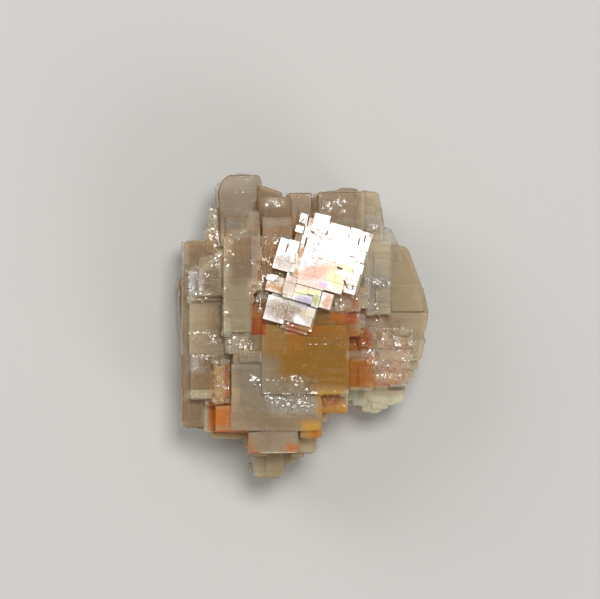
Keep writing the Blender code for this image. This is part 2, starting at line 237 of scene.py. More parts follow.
def plate_vertices(centres, halves, axes, root, rise, worn):
    """Corners of plates: centre + axes @ (ring x half size), at -root, rise - worn and rise, drawn in."""
    count = len(centres)
    root, rise, worn = (np.broadcast_to(value, count) for value in (root, rise, worn))
    drawn_in = halves[:, None] - worn[:, None, None]
    flat = np.concatenate([RING[None] * halves[:, None]] * 2 + [RING[None] * drawn_in], 1)
    tall = np.repeat(np.stack([-root, rise - worn, rise], 1), 4, 1)
    local = np.concatenate([flat, tall[..., None]], 2)
    return centres[:, None] + np.einsum("nij,nkj->nki", axes, local).reshape(count, 12, 3)


def flat_ground(heights, start, most, slopes):
    """Grows a block of cells from start, a row at a time, while the new row lies on start's sloping plane."""
    lo, hi = list(start), list(start)
    open_sides = {(0, -1), (0, 1), (1, -1), (1, 1)}
    while open_sides:
        for axis, way in sorted(open_sides):
            edge = hi[axis] + 1 if way > 0 else lo[axis] - 1
            if edge < 0 or edge >= heights.shape[axis] or hi[axis] - lo[axis] > most[axis]:
                open_sides.discard((axis, way))
                continue
            run = np.arange(lo[1 - axis], hi[1 - axis] + 1)
            ii, jj = (np.full(len(run), edge), run) if axis == 0 else (run, np.full(len(run), edge))
            want = heights[start] + (ii - start[0]) * GRID * slopes[0] + (jj - start[1]) * GRID * slopes[1]
            if np.abs(heights[ii, jj] - want).max() > FLAT:
                open_sides.discard((axis, way))
            elif way > 0:
                hi[axis] = edge
            else:
                lo[axis] = edge
    return lo, hi


def growth_plates(side):
    """Rectangles that hug a corner of the flat ground round a random point, one for each plate."""
    across, up = (Vector(direction) for direction in SIDES[side])
    out = across.cross(up)
    a, b, heights, normals, middle = side_heights(across, up, out)
    facing = normals @ np.array(out)
    beds = np.argwhere((heights > -FAR) & (facing > FACING))
    plates = []
    for _ in range(PLATES[side] * PLATE_TRIES):
        if len(plates) >= PLATES[side]:
            break
        i, j = beds[growth.integers(len(beds))]
        n = normals[i, j]
        bed = middle + across * a[i] + up * b[j] + out * heights[i, j]
        seen_across = bed.x * right.x + (bed.z - SEEN_HEIGHT) * right.z + ACROSS_SHIFT
        smooth = side == "top" and any(w < seen_across < x and y < bed.y < z for w, x, y, z in SMOOTH)
        if smooth or Vector(n).dot(turned_normal) > SAME_WAY:
            continue
        slopes = (-(n @ np.array(across)) / facing[i, j], -(n @ np.array(up)) / facing[i, j])
        lo, hi = flat_ground(heights, (i, j), growth.uniform(*PLATE_SPAN, 2) / GRID, slopes)
        size = (np.array(hi) - np.array(lo) + 1) * GRID
        if size.min() < PLATE_GROUND:
            continue
        near = growth.uniform(*PLATE_NEAR, 2)
        far = growth.uniform(*PLATE_FAR, 2) * size
        flip = growth.random(2) < 0.5
        start = np.where(flip, near, far)
        stop = size - np.where(flip, far, near)
        if (stop - start).min() < PLATE_LEAST:
            continue
        rise = growth.uniform(*PLATE_RISE)
        mid = (start + stop) / 2 + np.array([a[lo[0]], b[lo[1]]]) - GRID / 2
        height = heights[i, j] + (mid[0] - a[i]) * slopes[0] + (mid[1] - b[j]) * slopes[1]
        x_axis = (across + out * slopes[0]).normalized()
        z_axis = Vector(n)
        own_axes = np.array([x_axis, z_axis.cross(x_axis), z_axis]).T
        centre = middle + across * mid[0] + up * mid[1] + out * height
        plates.append((centre, (stop - start) / 2, own_axes, rise))
        covered = [slice(lo[k] + int(start[k] / GRID), lo[k] + int(stop[k] / GRID)) for k in (0, 1)]
        heights[tuple(covered)] += rise
    return plates


plates = [plate for side in SIDES for plate in growth_plates(side)]
centres, halves, axes, rises = (np.array(column) for column in zip(*plates))
worn_share, worn_most = PLATE_WORN
corners = plate_vertices(centres, halves, axes, PLATE_ROOT, rises, np.minimum(rises * worn_share, worn_most))
corners = corners[corners[:, :, 2].min(1) > 0]


# Crusts of small cubes: where they lie as seen (across from, to, up from, to), how many, and half sizes.
CRUSTS = {
    "sugary patch": (-15.2, -10.4, -5, -1.2, 90, 0.16, 0.5),
    "left rows": (-22.2, -16.4, -3.2, -0.8, 46, 0.12, 0.34),
    "left low row": (-22.4, -16.4, -8.6, -5.2, 50, 0.12, 0.36),
    "rust column": (-17.6, -13.8, -15.4, -6.6, 90, 0.14, 0.48),
    "white patch": (-22.2, -17.6, 5, 10.8, 70, 0.14, 0.45),
    "ridge": (-18.4, -12.4, 11, 17.4, 60, 0.14, 0.45),
    "face edge": (-15.8, -13.6, 0, 9, 40, 0.12, 0.4),
    "stain": (-9.4, -3, 3, 17.6, 130, 0.14, 0.55),
    "front middle": (-9.6, 3.4, -17.2, -9.6, 120, 0.12, 0.42),
    "crust": (12.2, 22.4, -12, -0.4, 190, 0.16, 0.6),
    "rose": (6, 13.4, 2.8, 7.4, 26, 0.12, 0.36),
    "red foot": (3.6, 9, -16.8, -12.4, 60, 0.14, 0.45),
    "top left": (-6.8, -3.2, 23.8, 25.4, 26, 0.1, 0.34),
    "top middle": (4.6, 9, 22.8, 25.6, 16, 0.1, 0.26),
    "top corner": (12.6, 15.8, 19.4, 22.4, 40, 0.14, 0.45),
    "peach side": (11.2, 16.4, -1.6, 3, 60, 0.14, 0.45),
    "peach gap": (-10.2, -6.4, 4.8, 9, 60, 0.14, 0.45),
    "crown foot": (-18.4, -16.4, 17.4, 23.4, 40, 0.12, 0.36),
    "right patch": (12.8, 17.8, 7.8, 10.2, 40, 0.14, 0.45),
    "right column": (12.8, 17.8, 3, 7.4, 24, 0.12, 0.36),
}
CUBE_TIP = math.radians(1.5)
CUBE_RARITY = 2.2  # the higher, the rarer the large cubes
CUBE_SIDES = (0.7, 1.6)
CUBE_RISE = (0.2, 1.0)
CUBE_WORN = (0.3, 0.04)


def seen_hit(tree, across, up):
    """Where the line of sight at (across, up) meets a surface: its point and its normal, or None twice."""
    return tree.ray_cast(Vector(seen_point(across, up, ABOVE)), -back)[:2]


def crust_cubes():
    """Cubes sunk to a random depth at random points of each crust: most are small, few are large."""
    cubes = []
    for across_from, across_to, up_from, up_to, count, least, most in CRUSTS.values():
        for _ in range(count):
            spot = (growth.uniform(across_from, across_to), growth.uniform(up_from, up_to))
            hit, normal = seen_hit(surface, *spot)
            if hit is None or normal.dot(turned_normal) > SAME_WAY:
                continue
            size = least + (most - least) * growth.random() ** CUBE_RARITY
            cube_halves = size * growth.uniform(*CUBE_SIDES, 2)
            tips = growth.normal(0, CUBE_TIP, 3)
            x, y, z = (Matrix.Rotation(tip, 3, axis) for tip, axis in zip(tips, "XYZ"))
            cubes.append((hit, cube_halves, x @ y @ z, size * growth.uniform(*CUBE_RISE)))
    return [np.array(column) for column in zip(*cubes)]


# Last layers of growth that close over small steps: across from, to, up from, to.
LAYERS = [
    (-13.7, -7.6, -13.3, -7.4), (-7.8, 9.1, -13.3, 0.4), (-13.8, 3.5, -20.5, -13.6),
    (-10.4, -1.0, -24.9, -20.8), (-16.8, -13.9, -20.7, -15.7), (-15.2, -9.8, -1.0, 17.8),
    (-9.9, -8.5, 8.2, 17.8), (-22.1, -16.4, -5.4, 4.6), (17.9, 24.6, 3.0, 7.6),
]
LAYER_SPOTS = (0.08, 0.3, 0.5, 0.7, 0.92)  # shares of a layer's sides where the ground under it is read
LAYER_LEVEL = 85  # the percentile of the ground's height that it lies level with
LAYER_RISE = 0.02
LAYER_ROOT = 1.0
LAYER_WORN = 0.10


def last_layers():
    """Level rectangles, each at a percentile of the ground's height on a grid of spots under it."""
    middles, layer_halves = [], []
    for across_from, across_to, up_from, up_to in LAYERS:
        width, depth = across_to - across_from, up_to - up_from
        spots = [(across_from + width * s, up_from + depth * t) for s in LAYER_SPOTS for t in LAYER_SPOTS]
        level = np.percentile([seen_hit(surface, *spot)[0].z for spot in spots], LAYER_LEVEL)
        middles.append(seen_point((across_from + across_to) / 2, (up_from + up_to) / 2, level + LAYER_RISE))
        layer_halves.append((width / 2, depth / 2))
    upright = np.tile(np.eye(3), (len(LAYERS), 1, 1))
    return plate_vertices(np.array(middles), np.array(layer_halves), upright, LAYER_ROOT, 0.0, LAYER_WORN)


centres, halves, axes, rises = crust_cubes()
worn_share, worn_most = CUBE_WORN
cube_worn = np.minimum(rises * worn_share, worn_most)
corners = np.concatenate(
    [corners, plate_vertices(centres, halves, axes, halves.min(1), rises, cube_worn), last_layers()]
)


def apart(boxes):
    """Sorts boxes into layers in which none meets another, so that each layer is a clean solid."""
    lows, highs = boxes.min(1) - 0.01, boxes.max(1) + 0.01
    layer = np.full(len(boxes), -1)
    for k in range(len(boxes)):
        meets = (lows[:k] < highs[k]).all(1) & (highs[:k] > lows[k]).all(1)
        taken = set(layer[:k][meets].tolist())
        layer[k] = next(n for n in range(len(boxes)) if n not in taken)
    return layer


def plates_mesh(name, corner_rows):
    """An object of closed plates, in millimetres: each row of twelve corners takes the same faces."""
    faces = [tuple(n + 12 * i for n in face) for i in range(len(corner_rows)) for face in PLATE_FACES]
    mesh = bpy.data.meshes.new(name)
    mesh.from_pydata((corner_rows.reshape(-1, 3) * MM).tolist(), [], faces)
    return bpy.data.objects.new(name, mesh)


layers = apart(corners)
helpers = bpy.data.collections.new("growth")
scene.collection.children.link(helpers)
for k in range(layers.max() + 1):
    helpers.objects.link(plates_mesh(f"growth {k}", corners[layers == k]))

for vertex in whole.verts:
    vertex.co *= MM
body_mesh = bpy.data.meshes.new("crystal_body")
whole.to_mesh(body_mesh)
whole.free()
body = bpy.data.objects.new("crystal_body", body_mesh)
scene.collection.objects.link(body)
union = body.modifiers.new("grown together", "BOOLEAN")
union.operation = "UNION"
union.operand_type = "COLLECTION"
union.collection = helpers
union.solver = "MANIFOLD"
grown = bpy.data.meshes.new_from_object(body.evaluated_get(bpy.context.evaluated_depsgraph_get()))
body.modifiers.clear()
body.data = grown
for helper in list(helpers.objects):
    bpy.data.objects.remove(helper)
bpy.data.collections.remove(helpers)


class Nodes:
    """Adds nodes to a tree and links them, so that a material reads as one sum after another."""

    def __init__(self, tree):
        self.tree = tree

    def feed(self, inputs, values):
        """Gives inputs, by name or number, a link where the value is a socket, and otherwise the value."""
        for key, value in values.items():
            if isinstance(value, bpy.types.NodeSocket):
                self.tree.links.new(value, inputs[key])
            else:
                inputs[key].default_value = value

    def add(self, kind, values, **settings):
        """The outputs of a new node with these settings and these values at its inputs."""
        node = self.tree.nodes.new("ShaderNode" + kind)
        for name, setting in settings.items():
            setattr(node, name, setting)
        self.feed(node.inputs, values)
        return node.outputs

    def group(self, group, **values):
        return self.add("Group", values, node_tree=group)

    def math(self, operation, *values):
        return self.add("Math", dict(enumerate(values)), operation=operation)[0]

    def vector(self, operation, *values):
        result = "Value" if operation in ("DOT_PRODUCT", "LENGTH") else "Vector"
        return self.add("VectorMath", dict(enumerate(values)), operation=operation)[result]

    def split(self, vector):
        return self.add("SeparateXYZ", {0: vector})

    def join(self, *parts):
        return self.add("CombineXYZ", dict(enumerate(parts)))[0]

    def mix(self, share, first, second):
        return self.add("Mix", {"Factor": share, 6: first, 7: second}, data_type="RGBA")[2]

    def tint(self, colour, second, mask, strength):
        """A colour, mixed with a second one by a mask times a strength."""
        return self.mix(self.math("MULTIPLY", mask, strength), colour, second)

    def tones(self, colour, value, tones):
        """A colour, mixed with each (second colour, low, high, strength) where the value nears its high."""
        for second, low, high, strength in tones:
            colour = self.tint(colour, second, self.ramp(value, low, high), strength)
        return colour

    def noise(self, place, scale, detail, roughness=0.5, output="Fac"):
        values = {"Vector": place, "Scale": scale, "Detail": detail, "Roughness": roughness}
        return self.add("TexNoise", values)[output]

    def shift(self, place, scale, detail, reach):
        """A random shift of up to half of reach each way, which changes smoothly over the surface."""
        drift = self.noise(place, scale, detail, output="Color")
        return self.vector("MULTIPLY", self.vector("SUBTRACT", drift, (0.5, 0.5, 0.5)), reach)

    def ramp(self, value, low, high):
        """0 where the value is low and 1 where it is high, with a soft start and end."""
        values = {"Value": value, "From Min": low, "From Max": high}
        return self.add("MapRange", values, interpolation_type="SMOOTHSTEP")[0]

    def clouds(self, place, scale, detail, roughness, low, high):
        """Noise, ramped between two of its levels."""
        return self.ramp(self.noise(place, scale, detail, roughness), low, high)


def new_group(name, inputs, outputs):
    """An empty shader group with these sockets, and its two ends."""
    group = bpy.data.node_groups.new(name, "ShaderNodeTree")
    for way, sockets in (("INPUT", inputs), ("OUTPUT", outputs)):
        for label, kind in sockets.items():
            group.interface.new_socket(label, in_out=way, socket_type="NodeSocket" + kind)
    ends = group.nodes.new("NodeGroupInput").outputs, group.nodes.new("NodeGroupOutput").inputs
    return group, Nodes(group), *ends


def soft_box_group():
    """1 inside a box and 0 from Soft outside it on: 1 - |max(|place - middle| - half, 0)| / soft, above 0."""
    sockets = {"Place": "Vector", "Middle": "Vector", "Half": "Vector", "Soft": "Float"}
    group, nodes, start, end = new_group("soft box", sockets, {"Mask": "Float"})
    off = nodes.vector("ABSOLUTE", nodes.vector("SUBTRACT", start["Place"], start["Middle"]))
    outside = nodes.vector("MAXIMUM", nodes.vector("SUBTRACT", off, start["Half"]), (0, 0, 0))
    share = nodes.math("DIVIDE", nodes.vector("LENGTH", outside), start["Soft"])
    nodes.feed(end, {"Mask": nodes.math("MAXIMUM", nodes.math("SUBTRACT", 1.0, share), 0.0)})
    return group


def worn_and_lit_edge_group():
    """1 on an edge, which is frosted by wear and carries a painted highlight: 1 - cosine between the face and
    the face rounded off by Width, sharpened.
    """
    group, nodes, start, end = new_group("worn and lit edge", {"Width": "Float"}, {"Mask": "Float"})
    rounded = nodes.add("Bevel", {"Radius": start["Width"]}, samples=6)[0]
    turn = nodes.vector("DOT_PRODUCT", rounded, nodes.add("NewGeometry", {})["True Normal"])
    nodes.feed(end, {"Mask": nodes.ramp(nodes.math("SUBTRACT", 1.0, turn), 0.01, 0.16)})
    return group


def block_tones_group():
    """A random tone for each block of a staggered wall: rows of y, each shifted along x by a random share."""
    sockets = {"Place": "Vector", "Size": "Vector"}
    group, nodes, start, end = new_group("block tones", sockets, {"Tone": "Float"})
    x, y, z = nodes.split(nodes.vector("DIVIDE", start["Place"], start["Size"]))
    row = nodes.math("FLOOR", y)
    own_shift = nodes.add("TexWhiteNoise", {"W": row}, noise_dimensions="1D")["Value"]
    cell = nodes.join(nodes.math("FLOOR", nodes.math("ADD", x, own_shift)), row, nodes.math("FLOOR", z))
    nodes.feed(end, {"Tone": nodes.add("TexWhiteNoise", {"Vector": cell}, noise_dimensions="3D")["Value"]})
    return group


def grain_group():
    """Sugary grains: a random tone for each cell, and a normal tipped at random by Tilt."""
    sockets = {"Place": "Vector", "Scale": "Float", "Tilt": "Float"}
    group, nodes, start, end = new_group("grains", sockets, {"Tone": "Float", "Normal": "Vector"})
    cell_values = {"Vector": start["Place"], "Scale": start["Scale"]}
    random = nodes.add("TexVoronoi", cell_values, distance="CHEBYCHEV")["Color"]
    lean = nodes.vector("SUBTRACT", random, (0.5, 0.5, 0.5))
    leant = nodes.add("VectorMath", {0: lean, "Scale": start["Tilt"]}, operation="SCALE")[0]
    face = nodes.add("NewGeometry", {})["Normal"]
    normal = nodes.vector("NORMALIZE", nodes.vector("ADD", face, leant))
    nodes.feed(end, {"Normal": normal, "Tone": nodes.split(random)[0]})
    return group


soft_box = soft_box_group()
worn_and_lit_edge = worn_and_lit_edge_group()
block_tones = block_tones_group()
grains = grain_group()


def new_material(name):
    """A material, its nodes, its shader's inputs, and Object coordinates in millimetres: plain, and as seen.

    As seen they are (across, up, height), where across is x and height, each times its share of right, added.
    """
    material = bpy.data.materials.new(name)
    material.use_nodes = True
    nodes = Nodes(material.node_tree)
    metres = nodes.add("TexCoord", {})["Object"]
    place = nodes.vector("MULTIPLY", metres, (1 / MM, 1 / MM, 1 / MM))
    across = nodes.vector("DOT_PRODUCT", place, (math.cos(VIEW_LEAN), 0, math.sin(VIEW_LEAN)))
    across = nodes.math("ADD", across, ACROSS_SHIFT - SEEN_HEIGHT * math.sin(VIEW_LEAN))
    _, up, height = nodes.split(place)
    return material, nodes, nodes.tree.nodes["Principled BSDF"].inputs, place, nodes.join(across, up, height)


# The body's colours, in linear shares of red, green and blue.
SMOKY = (0.38, 0.285, 0.17, 1)
PALE = (0.58, 0.48, 0.31, 1)
GREY = (0.50, 0.41, 0.30, 1)
SLATE = (0.33, 0.29, 0.24, 1)
MILKY = (0.80, 0.70, 0.50, 1)
BRIGHT = (1.0, 0.91, 0.68, 1)
BLUISH = (0.86, 0.86, 0.86, 1)
BROWN = (0.37, 0.235, 0.12, 1)
UMBER = (0.25, 0.18, 0.075, 1)
DARK = (0.20, 0.14, 0.08, 1)
TAN = (0.78, 0.50, 0.24, 1)
PEACH = (0.95, 0.62, 0.36, 1)
HONEY = (0.88, 0.52, 0.24, 1)
PINK = (0.98, 0.66, 0.44, 1)
ROSE = (0.95, 0.40, 0.17, 1)
OLIVE = (0.50, 0.24, 0.002, 1)
AMBER = (0.66, 0.25, 0.002, 1)
ORANGE = (0.86, 0.24, 0.002, 1)
YELLOW = (0.98, 0.52, 0.06, 1)
RUST = (0.70, 0.13, 0.002, 1)
RED = (0.58, 0.06, 0.001, 1)
FROST = (0.92, 0.84, 0.68, 1)
GRAIN_DARK = (0.20, 0.12, 0.06, 1)
# Stains and veils, the wide ones first, with some painted shade, painted light and painted highlights among
# them: across from, to, up from, to, the height they reach down to, how soft their edge is, colour, strength.
STAINS_AND_PAINTED_LIGHT = [
    # upper left: crown, wing, shelf and shoulder
    (-17, -8, 21, 31, 4, 1, UMBER, 0.85), (-16, -9.6, 26.8, 30.4, 4, 1.6, GREY, 0.35),
    (-13.8, -8.4, 21.4, 25.8, 4, 2.6, BROWN, 0.7), (-15.2, -11.8, 19.2, 21.4, 6, 0.4, SLATE, 0.8),
    (-18, -16.3, 22, 28.2, 4, 0.6, DARK, 0.6), (-18.4, -16.6, 18.4, 23.6, 4, 0.6, MILKY, 0.7),
    (-16.5, -15.5, 18.6, 22.8, 4, 0.3, DARK, 0.8), (-24, -22.6, 12.4, 17, 4, 1, MILKY, 0.5),
    (-22.6, -18, 12.4, 16.6, 4, 1.6, BROWN, 0.75), (-19.4, -14.2, 13.6, 19.6, 4, 1.6, TAN, 0.3),
    (-24.4, -22, 10.9, 12.4, 4, 0.4, DARK, 0.4), (-19.6, -15.4, 11.2, 14.4, 8, 1.2, MILKY, 0.55),
    (-16.8, -13.4, 14, 16.8, 8, 1.2, MILKY, 0.5), (-13.8, -10.9, 16.6, 19.2, 8, 1.2, MILKY, 0.35),
    (-11.6, -8.6, 19, 22.8, 8, 1.4, PALE, 0.6), (-22.4, -18.9, 6.2, 11.3, 8, 1.2, BLUISH, 0.55),
    (-22.2, -21.2, 6.8, 10.8, 8, 0.5, BLUISH, 0.7), (-16.2, -13.8, 7.6, 12.4, 8, 1, MILKY, 0.5),
    (-14.2, -8.4, 8.8, 18, 8, 2.4, BROWN, 0.75), (-14.4, -9.8, -0.6, 8, 8, 1.6, PALE, 0.9),
    (-22.6, -18.4, -2, 7, 4, 1.6, MILKY, 0.35), (-18.4, -15.8, -1, 7.4, 4, 1, BROWN, 0.35),
    # painted shade on the back of the left side, which leans out and faces away from the light
    (-26.4, -23.2, -14, 10.4, 0, 0.6, BROWN, 0.6), (-26.4, -24.9, -14, 10.4, 0, 0.4, DARK, 0.5),
    # lower left
    (-22.6, -16.4, -5.6, -2, 4, 1.2, MILKY, 0.3), (-23.4, -17.4, -12.8, -6, 4, 1, BROWN, 0.45),
    (-22.6, -19.2, -8.8, -5.8, 4, 1, BLUISH, 0.4), (-20.2, -17, -8.6, -6.3, 4, 0.8, BROWN, 0.4),
    (-22.6, -17.6, -14.4, -12.6, 4, 0.4, MILKY, 0.75), (-20, -17.8, -21.2, -14.4, 4, 0.6, MILKY, 0.5),
    (-24.4, -19.6, -20.2, -14.6, 4, 1, BROWN, 0.7), (-18.4, -11, -22.4, -21.2, 3, 0.4, MILKY, 0.55),
    (-15.6, -10.2, -5.6, -0.8, 4, 1.2, TAN, 0.6), (-15.2, -10.6, -5.2, -1.2, 4, 1.6, BRIGHT, 0.4),
    (-14, -8.4, -13, -6.6, 6, 2, GREY, 0.6), (-15.8, -12, -16, -12, 4, 0.8, PEACH, 0.45),
    (-17.9, -14.2, -15.7, -7.6, 12, 0.6, HONEY, 0.95), (-15, -13.9, -14.6, -7.4, 13, 0.4, RUST, 0.7),
    (-18.3, -17.1, -20.6, -14.8, 13, 0.5, RUST, 0.75), (-17.8, -13.6, -19.8, -15.6, 13, 1.8, ORANGE, 0.9),
    (-17.4, -10.8, -21.2, -20.3, 13, 0.4, RUST, 0.85), (-11, -9.9, -24.8, -20.8, 13, 0.5, RUST, 0.85),
    (-10.6, -8.6, -25.2, -22.8, 13, 1.4, ORANGE, 0.75), (-10.6, -7.4, -25.3, -24.6, 13, 0.3, RED, 0.9),
    # the front's foot
    (-14, 3.6, -20.8, -13.2, 8, 2, GREY, 0.45), (-10.4, -0.8, -25, -20.4, 8, 1.6, GREY, 0.6),
    (-11, -0.8, -31, -25.4, 2, 0.6, PALE, 0.7), (0, 3.2, -25.6, -22.2, 2, 0.5, MILKY, 0.45),
    (-12, 2.4, -20.4, -15.8, 8, 2.6, BROWN, 0.3), (-6.2, 3.4, -17.2, -13.4, 8, 1.2, BLUISH, 0.25),
    (0.2, 4, -22.2, -18.6, 12, 1.2, YELLOW, 0.9), (2.2, 4, -22.2, -20.2, 12, 0.8, ORANGE, 0.6),
    (-2.8, -0.5, -24.9, -23.1, 13, 1.2, ORANGE, 0.75),
    # the amber front
    (-8.2, 10.6, -13.2, 2.4, 6, 4, OLIVE, 0.95), (-7.6, -2.6, -5, 0.6, 6, 2.2, TAN, 0.25),
    (-2.6, 0.6, -5, -0.8, 6, 1.4, AMBER, 0.7), (-10.6, -4.6, -14, -6, 6, 3.2, GREY, 0.9),
    (-6, 1.6, -14, -10.2, 6, 2.6, GREY, 0.8), (2, 9.2, -13.6, -11.8, 6, 1.4, TAN, 0.5),
    (3.4, 9.2, -2, 2.8, 6, 1.8, AMBER, 0.5), (6.2, 11.6, 1, 3, 6, 1.2, ORANGE, 0.85),
    (8.6, 11.8, 0.4, 3.2, 6, 0.7, RUST, 0.8), (-0.6, 4, -1.6, 0.6, 6, 0.9, ORANGE, 0.5),
    (-2.8, -0.4, -1.2, 0.8, 6, 0.5, RUST, 0.95), (-9.8, -7, -1.6, 1.8, 6, 0.4, RED, 0.95),
    (-9.4, -7.2, -1, 1.6, 6, 1.6, ORANGE, 0.55), (-10, -7.4, 1.6, 5.2, 6, 0.8, ORANGE, 0.65),
    # right of the amber front
    (11.2, 16.6, -2, 3.4, 4, 1.4, PINK, 0.75), (12, 22.4, -12.2, -0.2, 3, 1.4, PINK, 0.7),
    (14.6, 21, -7.4, -4.4, 3, 1.6, MILKY, 0.45), (9.2, 14.8, -12.6, -6.2, 13, 0.7, ORANGE, 0.85),
    (9.2, 12.8, -12.4, -6.6, 4, 1.6, AMBER, 0.5), (9, 14.6, -6.4, -4.8, 4, 0.6, PEACH, 0.8),
    (9.2, 13.6, -4.6, -0.4, 4, 1, ORANGE, 0.75), (12.2, 14.4, -4, -0.8, 4, 0.6, RUST, 0.8),
    (17.6, 22.6, -3, -1, 4, 0.9, ROSE, 0.4), (14.6, 19, -11.9, -10.9, 3, 0.5, RUST, 0.5),
    (17.6, 18.9, -11.6, -9.6, 3, 0.5, YELLOW, 0.4), (3.2, 9.4, -17.5, -12.6, 3, 1.2, YELLOW, 0.95),
    (3.4, 9.2, -17.4, -15.2, 3, 0.8, ORANGE, 0.25), (4.6, 7.2, -15.6, -13.4, 3, 0.8, RED, 0.55),
    # Painted light: the second box here paints the pale steps low at the right near white, partly their pale
    # colour and partly light that lifts them out of the body's shade.
    (7.6, 12.2, -15.4, -12.8, 2, 0.8, PEACH, 0.8), (9.4, 21.6, -18.2, -12.2, 1, 1, BRIGHT, 1),
    (17.4, 20.8, -12.9, -11.7, 1, 0.2, GREY, 0.9),
    # the rose block and what is round it
    (5.6, 11.6, 3.1, 6.8, 6, 0.6, PINK, 0.95), (6.2, 11.2, 3.2, 6.2, 6, 1, ROSE, 0.18),
    (10, 11.5, 3.4, 5.4, 6, 0.5, RUST, 0.6), (11.4, 13.4, 3.2, 7.8, 6, 0.5, PINK, 0.9),
    (-10.4, -6.6, 5, 9.2, 6, 1, PEACH, 0.75), (-8.6, -4, 8.6, 17.6, 8, 1.2, HONEY, 0.9),
    (-8.6, -6.2, 8.4, 14, 8, 1, ORANGE, 0.3), (-7.2, -3.2, 7, 11.8, 8, 0.6, TAN, 0.95),
    (-2.2, 2.8, 16.4, 22.6, 8, 0.6, TAN, 0.8),
    # top row
    (-8.8, -2, 19.6, 26.4, 4, 1.2, BROWN, 0.85), (-7.2, -2.8, 23.8, 25.6, 4, 0.8, MILKY, 0.4),
    (-7.6, -2.4, 19.9, 21.4, 4, 0.6, PALE, 0.7), (-7.8, -0.6, 18, 19.4, 8, 1.2, AMBER, 0.6),
    (-2.8, 12, 21.4, 27.4, 4, 1.4, BROWN, 0.7), (11.8, 15.8, 21, 27, 4, 1, MILKY, 0.45),
    (12.8, 16.4, 19, 22.2, 4, 0.8, BLUISH, 0.3),
    # right side
    (15.9, 19.2, 16.3, 19.8, 4, 0.4, BLUISH, 0.6), (16.2, 18.4, 15.9, 16.4, 4, 0.2, DARK, 0.7),
    (12.4, 18, 9.8, 18.4, 4, 0.8, BRIGHT, 0.55), (12.8, 17.8, 7.8, 9.9, 4, 0.4, BLUISH, 0.6),
    (12.6, 17.8, 2.6, 7.8, 4, 0.6, MILKY, 0.65), (17.8, 25.6, -3.4, 16.4, 4, 1.2, PALE, 0.9),
    (17.8, 25.6, -3.4, 16.4, 4, 1.2, MILKY, 0.15), (21.4, 24.8, -10.8, -2.6, 3, 0.8, MILKY, 0.7),
    # painted highlights: thin pale lines on bright edges and joints
    (-8, -1, -24.95, -24.7, 4, 0.1, FROST, 0.7), (17.8, 24.4, 8.05, 8.2, 4, 0.1, FROST, 0.5),
    (17.8, 24.8, 2.6, 2.75, 4, 0.1, FROST, 0.5), (-15.6, -15.2, -1.2, 7.6, 4, 0.15, FROST, 0.8),
    (-15.5, -13.8, -1.4, 1, 4, 0.3, FROST, 0.5), (-24, -23.7, 12.2, 16.6, 4, 0.15, FROST, 0.7),
    (-8.1, -7.8, -7.2, -5.2, 4, 0.15, FROST, 0.8), (17.2, 20.9, -13, -12.8, 1, 0.12, BLUISH, 0.8),
    (17.6, 20.9, -11.8, -11.6, 1, 0.12, BLUISH, 0.8),
]
WANDER_FROM = 0.55  # the outline of a stain softer than this wanders
WANDER = (0.5, 4.0, (1.2, 1.2, 1.2))  # scale per millimetre, detail, reach
BLOCKS = (5.2, 4.1, 6.0)
BLOCK_SHARE = 0.16
SMALL_BLOCKS = (1.9, 1.4, 2.3)
SMALL_BLOCK_SHARE = 0.08
# Edges: how wide the edge mask is, and how strongly it paints frost and painted highlights over the body and
# again over the stains.
EDGE_WIDTH = 0.00018
EDGE_FROST_AND_HIGHLIGHT = 0.55
EDGE_HIGHLIGHT_OVER_STAIN = 0.35
PAINTED_GLOW_REACH = 0.0016  # how far in from an edge the painted glow reaches: colour made lighter there for light that scatters out near edges
PAINTED_GLOW = 0.32
# Clouds: scale per millimetre, detail, roughness, and where they start and are full.
BASE_NOISE = (0.16, 4.0, 0.6)
BASE_LIMITS = (0.40, 0.80)
VEIL = (0.3, 5.0, 0.6, 0.50, 0.90)
VEIL_SHARE = 0.20
BROKEN = (0.7, 4.0, 0.5, 0.46, 0.62)
MOTTLE_NOISE = (1.1, 5.0, 0.7)
# Tones of the mottling and the growth lines: the noise where each starts and is full, and how strong it is.
MOTTLES = ((PEACH, 0.53, 0.70, 0.30), (OLIVE, 0.47, 0.30, 0.34))
PAINTED_GLOW_RAMP = (0.98, 0.50)  # how far a place lies open from inside: none of the painted glow, and all of it
LINE_NOISE = (1.0, 3.0)
LINES = ((FROST, 0.54, 0.74, 0.12), (BROWN, 0.46, 0.26, 0.25))
LAYERED = (0.10, 1.3, 0.6)  # how closely the growth lines lie in each direction, per millimetre
PATCHY = (0.55, 3.0, 0.5, 0.40, 0.66)
GRAIN_SCALE = 3.0  # grains per millimetre
GRAIN_TILT = 0.22
CRUST_DOWN = 3
CRUST_SOFT = 1.2
# The turned crystal, which is dull where it isn't split, as boxes with their height and softness.
ETCHED = [(-9.6, 14.0, -0.6, 23.0, 27.6, 0.4), (-3.2, 1.6, -1.4, 0.4, 26.4, 0.4)]
ETCHED_ROUGHNESS = 0.55
POLISH_NOISE = (0.7, 3.0, 0.6)
IOR = 1.544
TRANSMISSION = 0.55
SCATTER_COLOUR = (1.0, 0.75, 0.5)
SCATTER_REACH = 0.003
THICK_COLOUR = (1.0, 0.80, 0.52, 1)  # what is left of white light where it has gone a long way through
THICK_DENSITY = 45.0


def box_mask(nodes, place, across_from, across_to, up_from, up_to, height_from, soft):
    """How far a place is inside a box as seen, which reaches up past the top."""
    middle = ((across_from + across_to) / 2, (up_from + up_to) / 2, (height_from + FAR) / 2)
    half = ((across_to - across_from - soft) / 2, (up_to - up_from - soft) / 2, (FAR - height_from) / 2)
    return nodes.group(soft_box, Place=place, Middle=middle, Half=half, Soft=soft)[0]


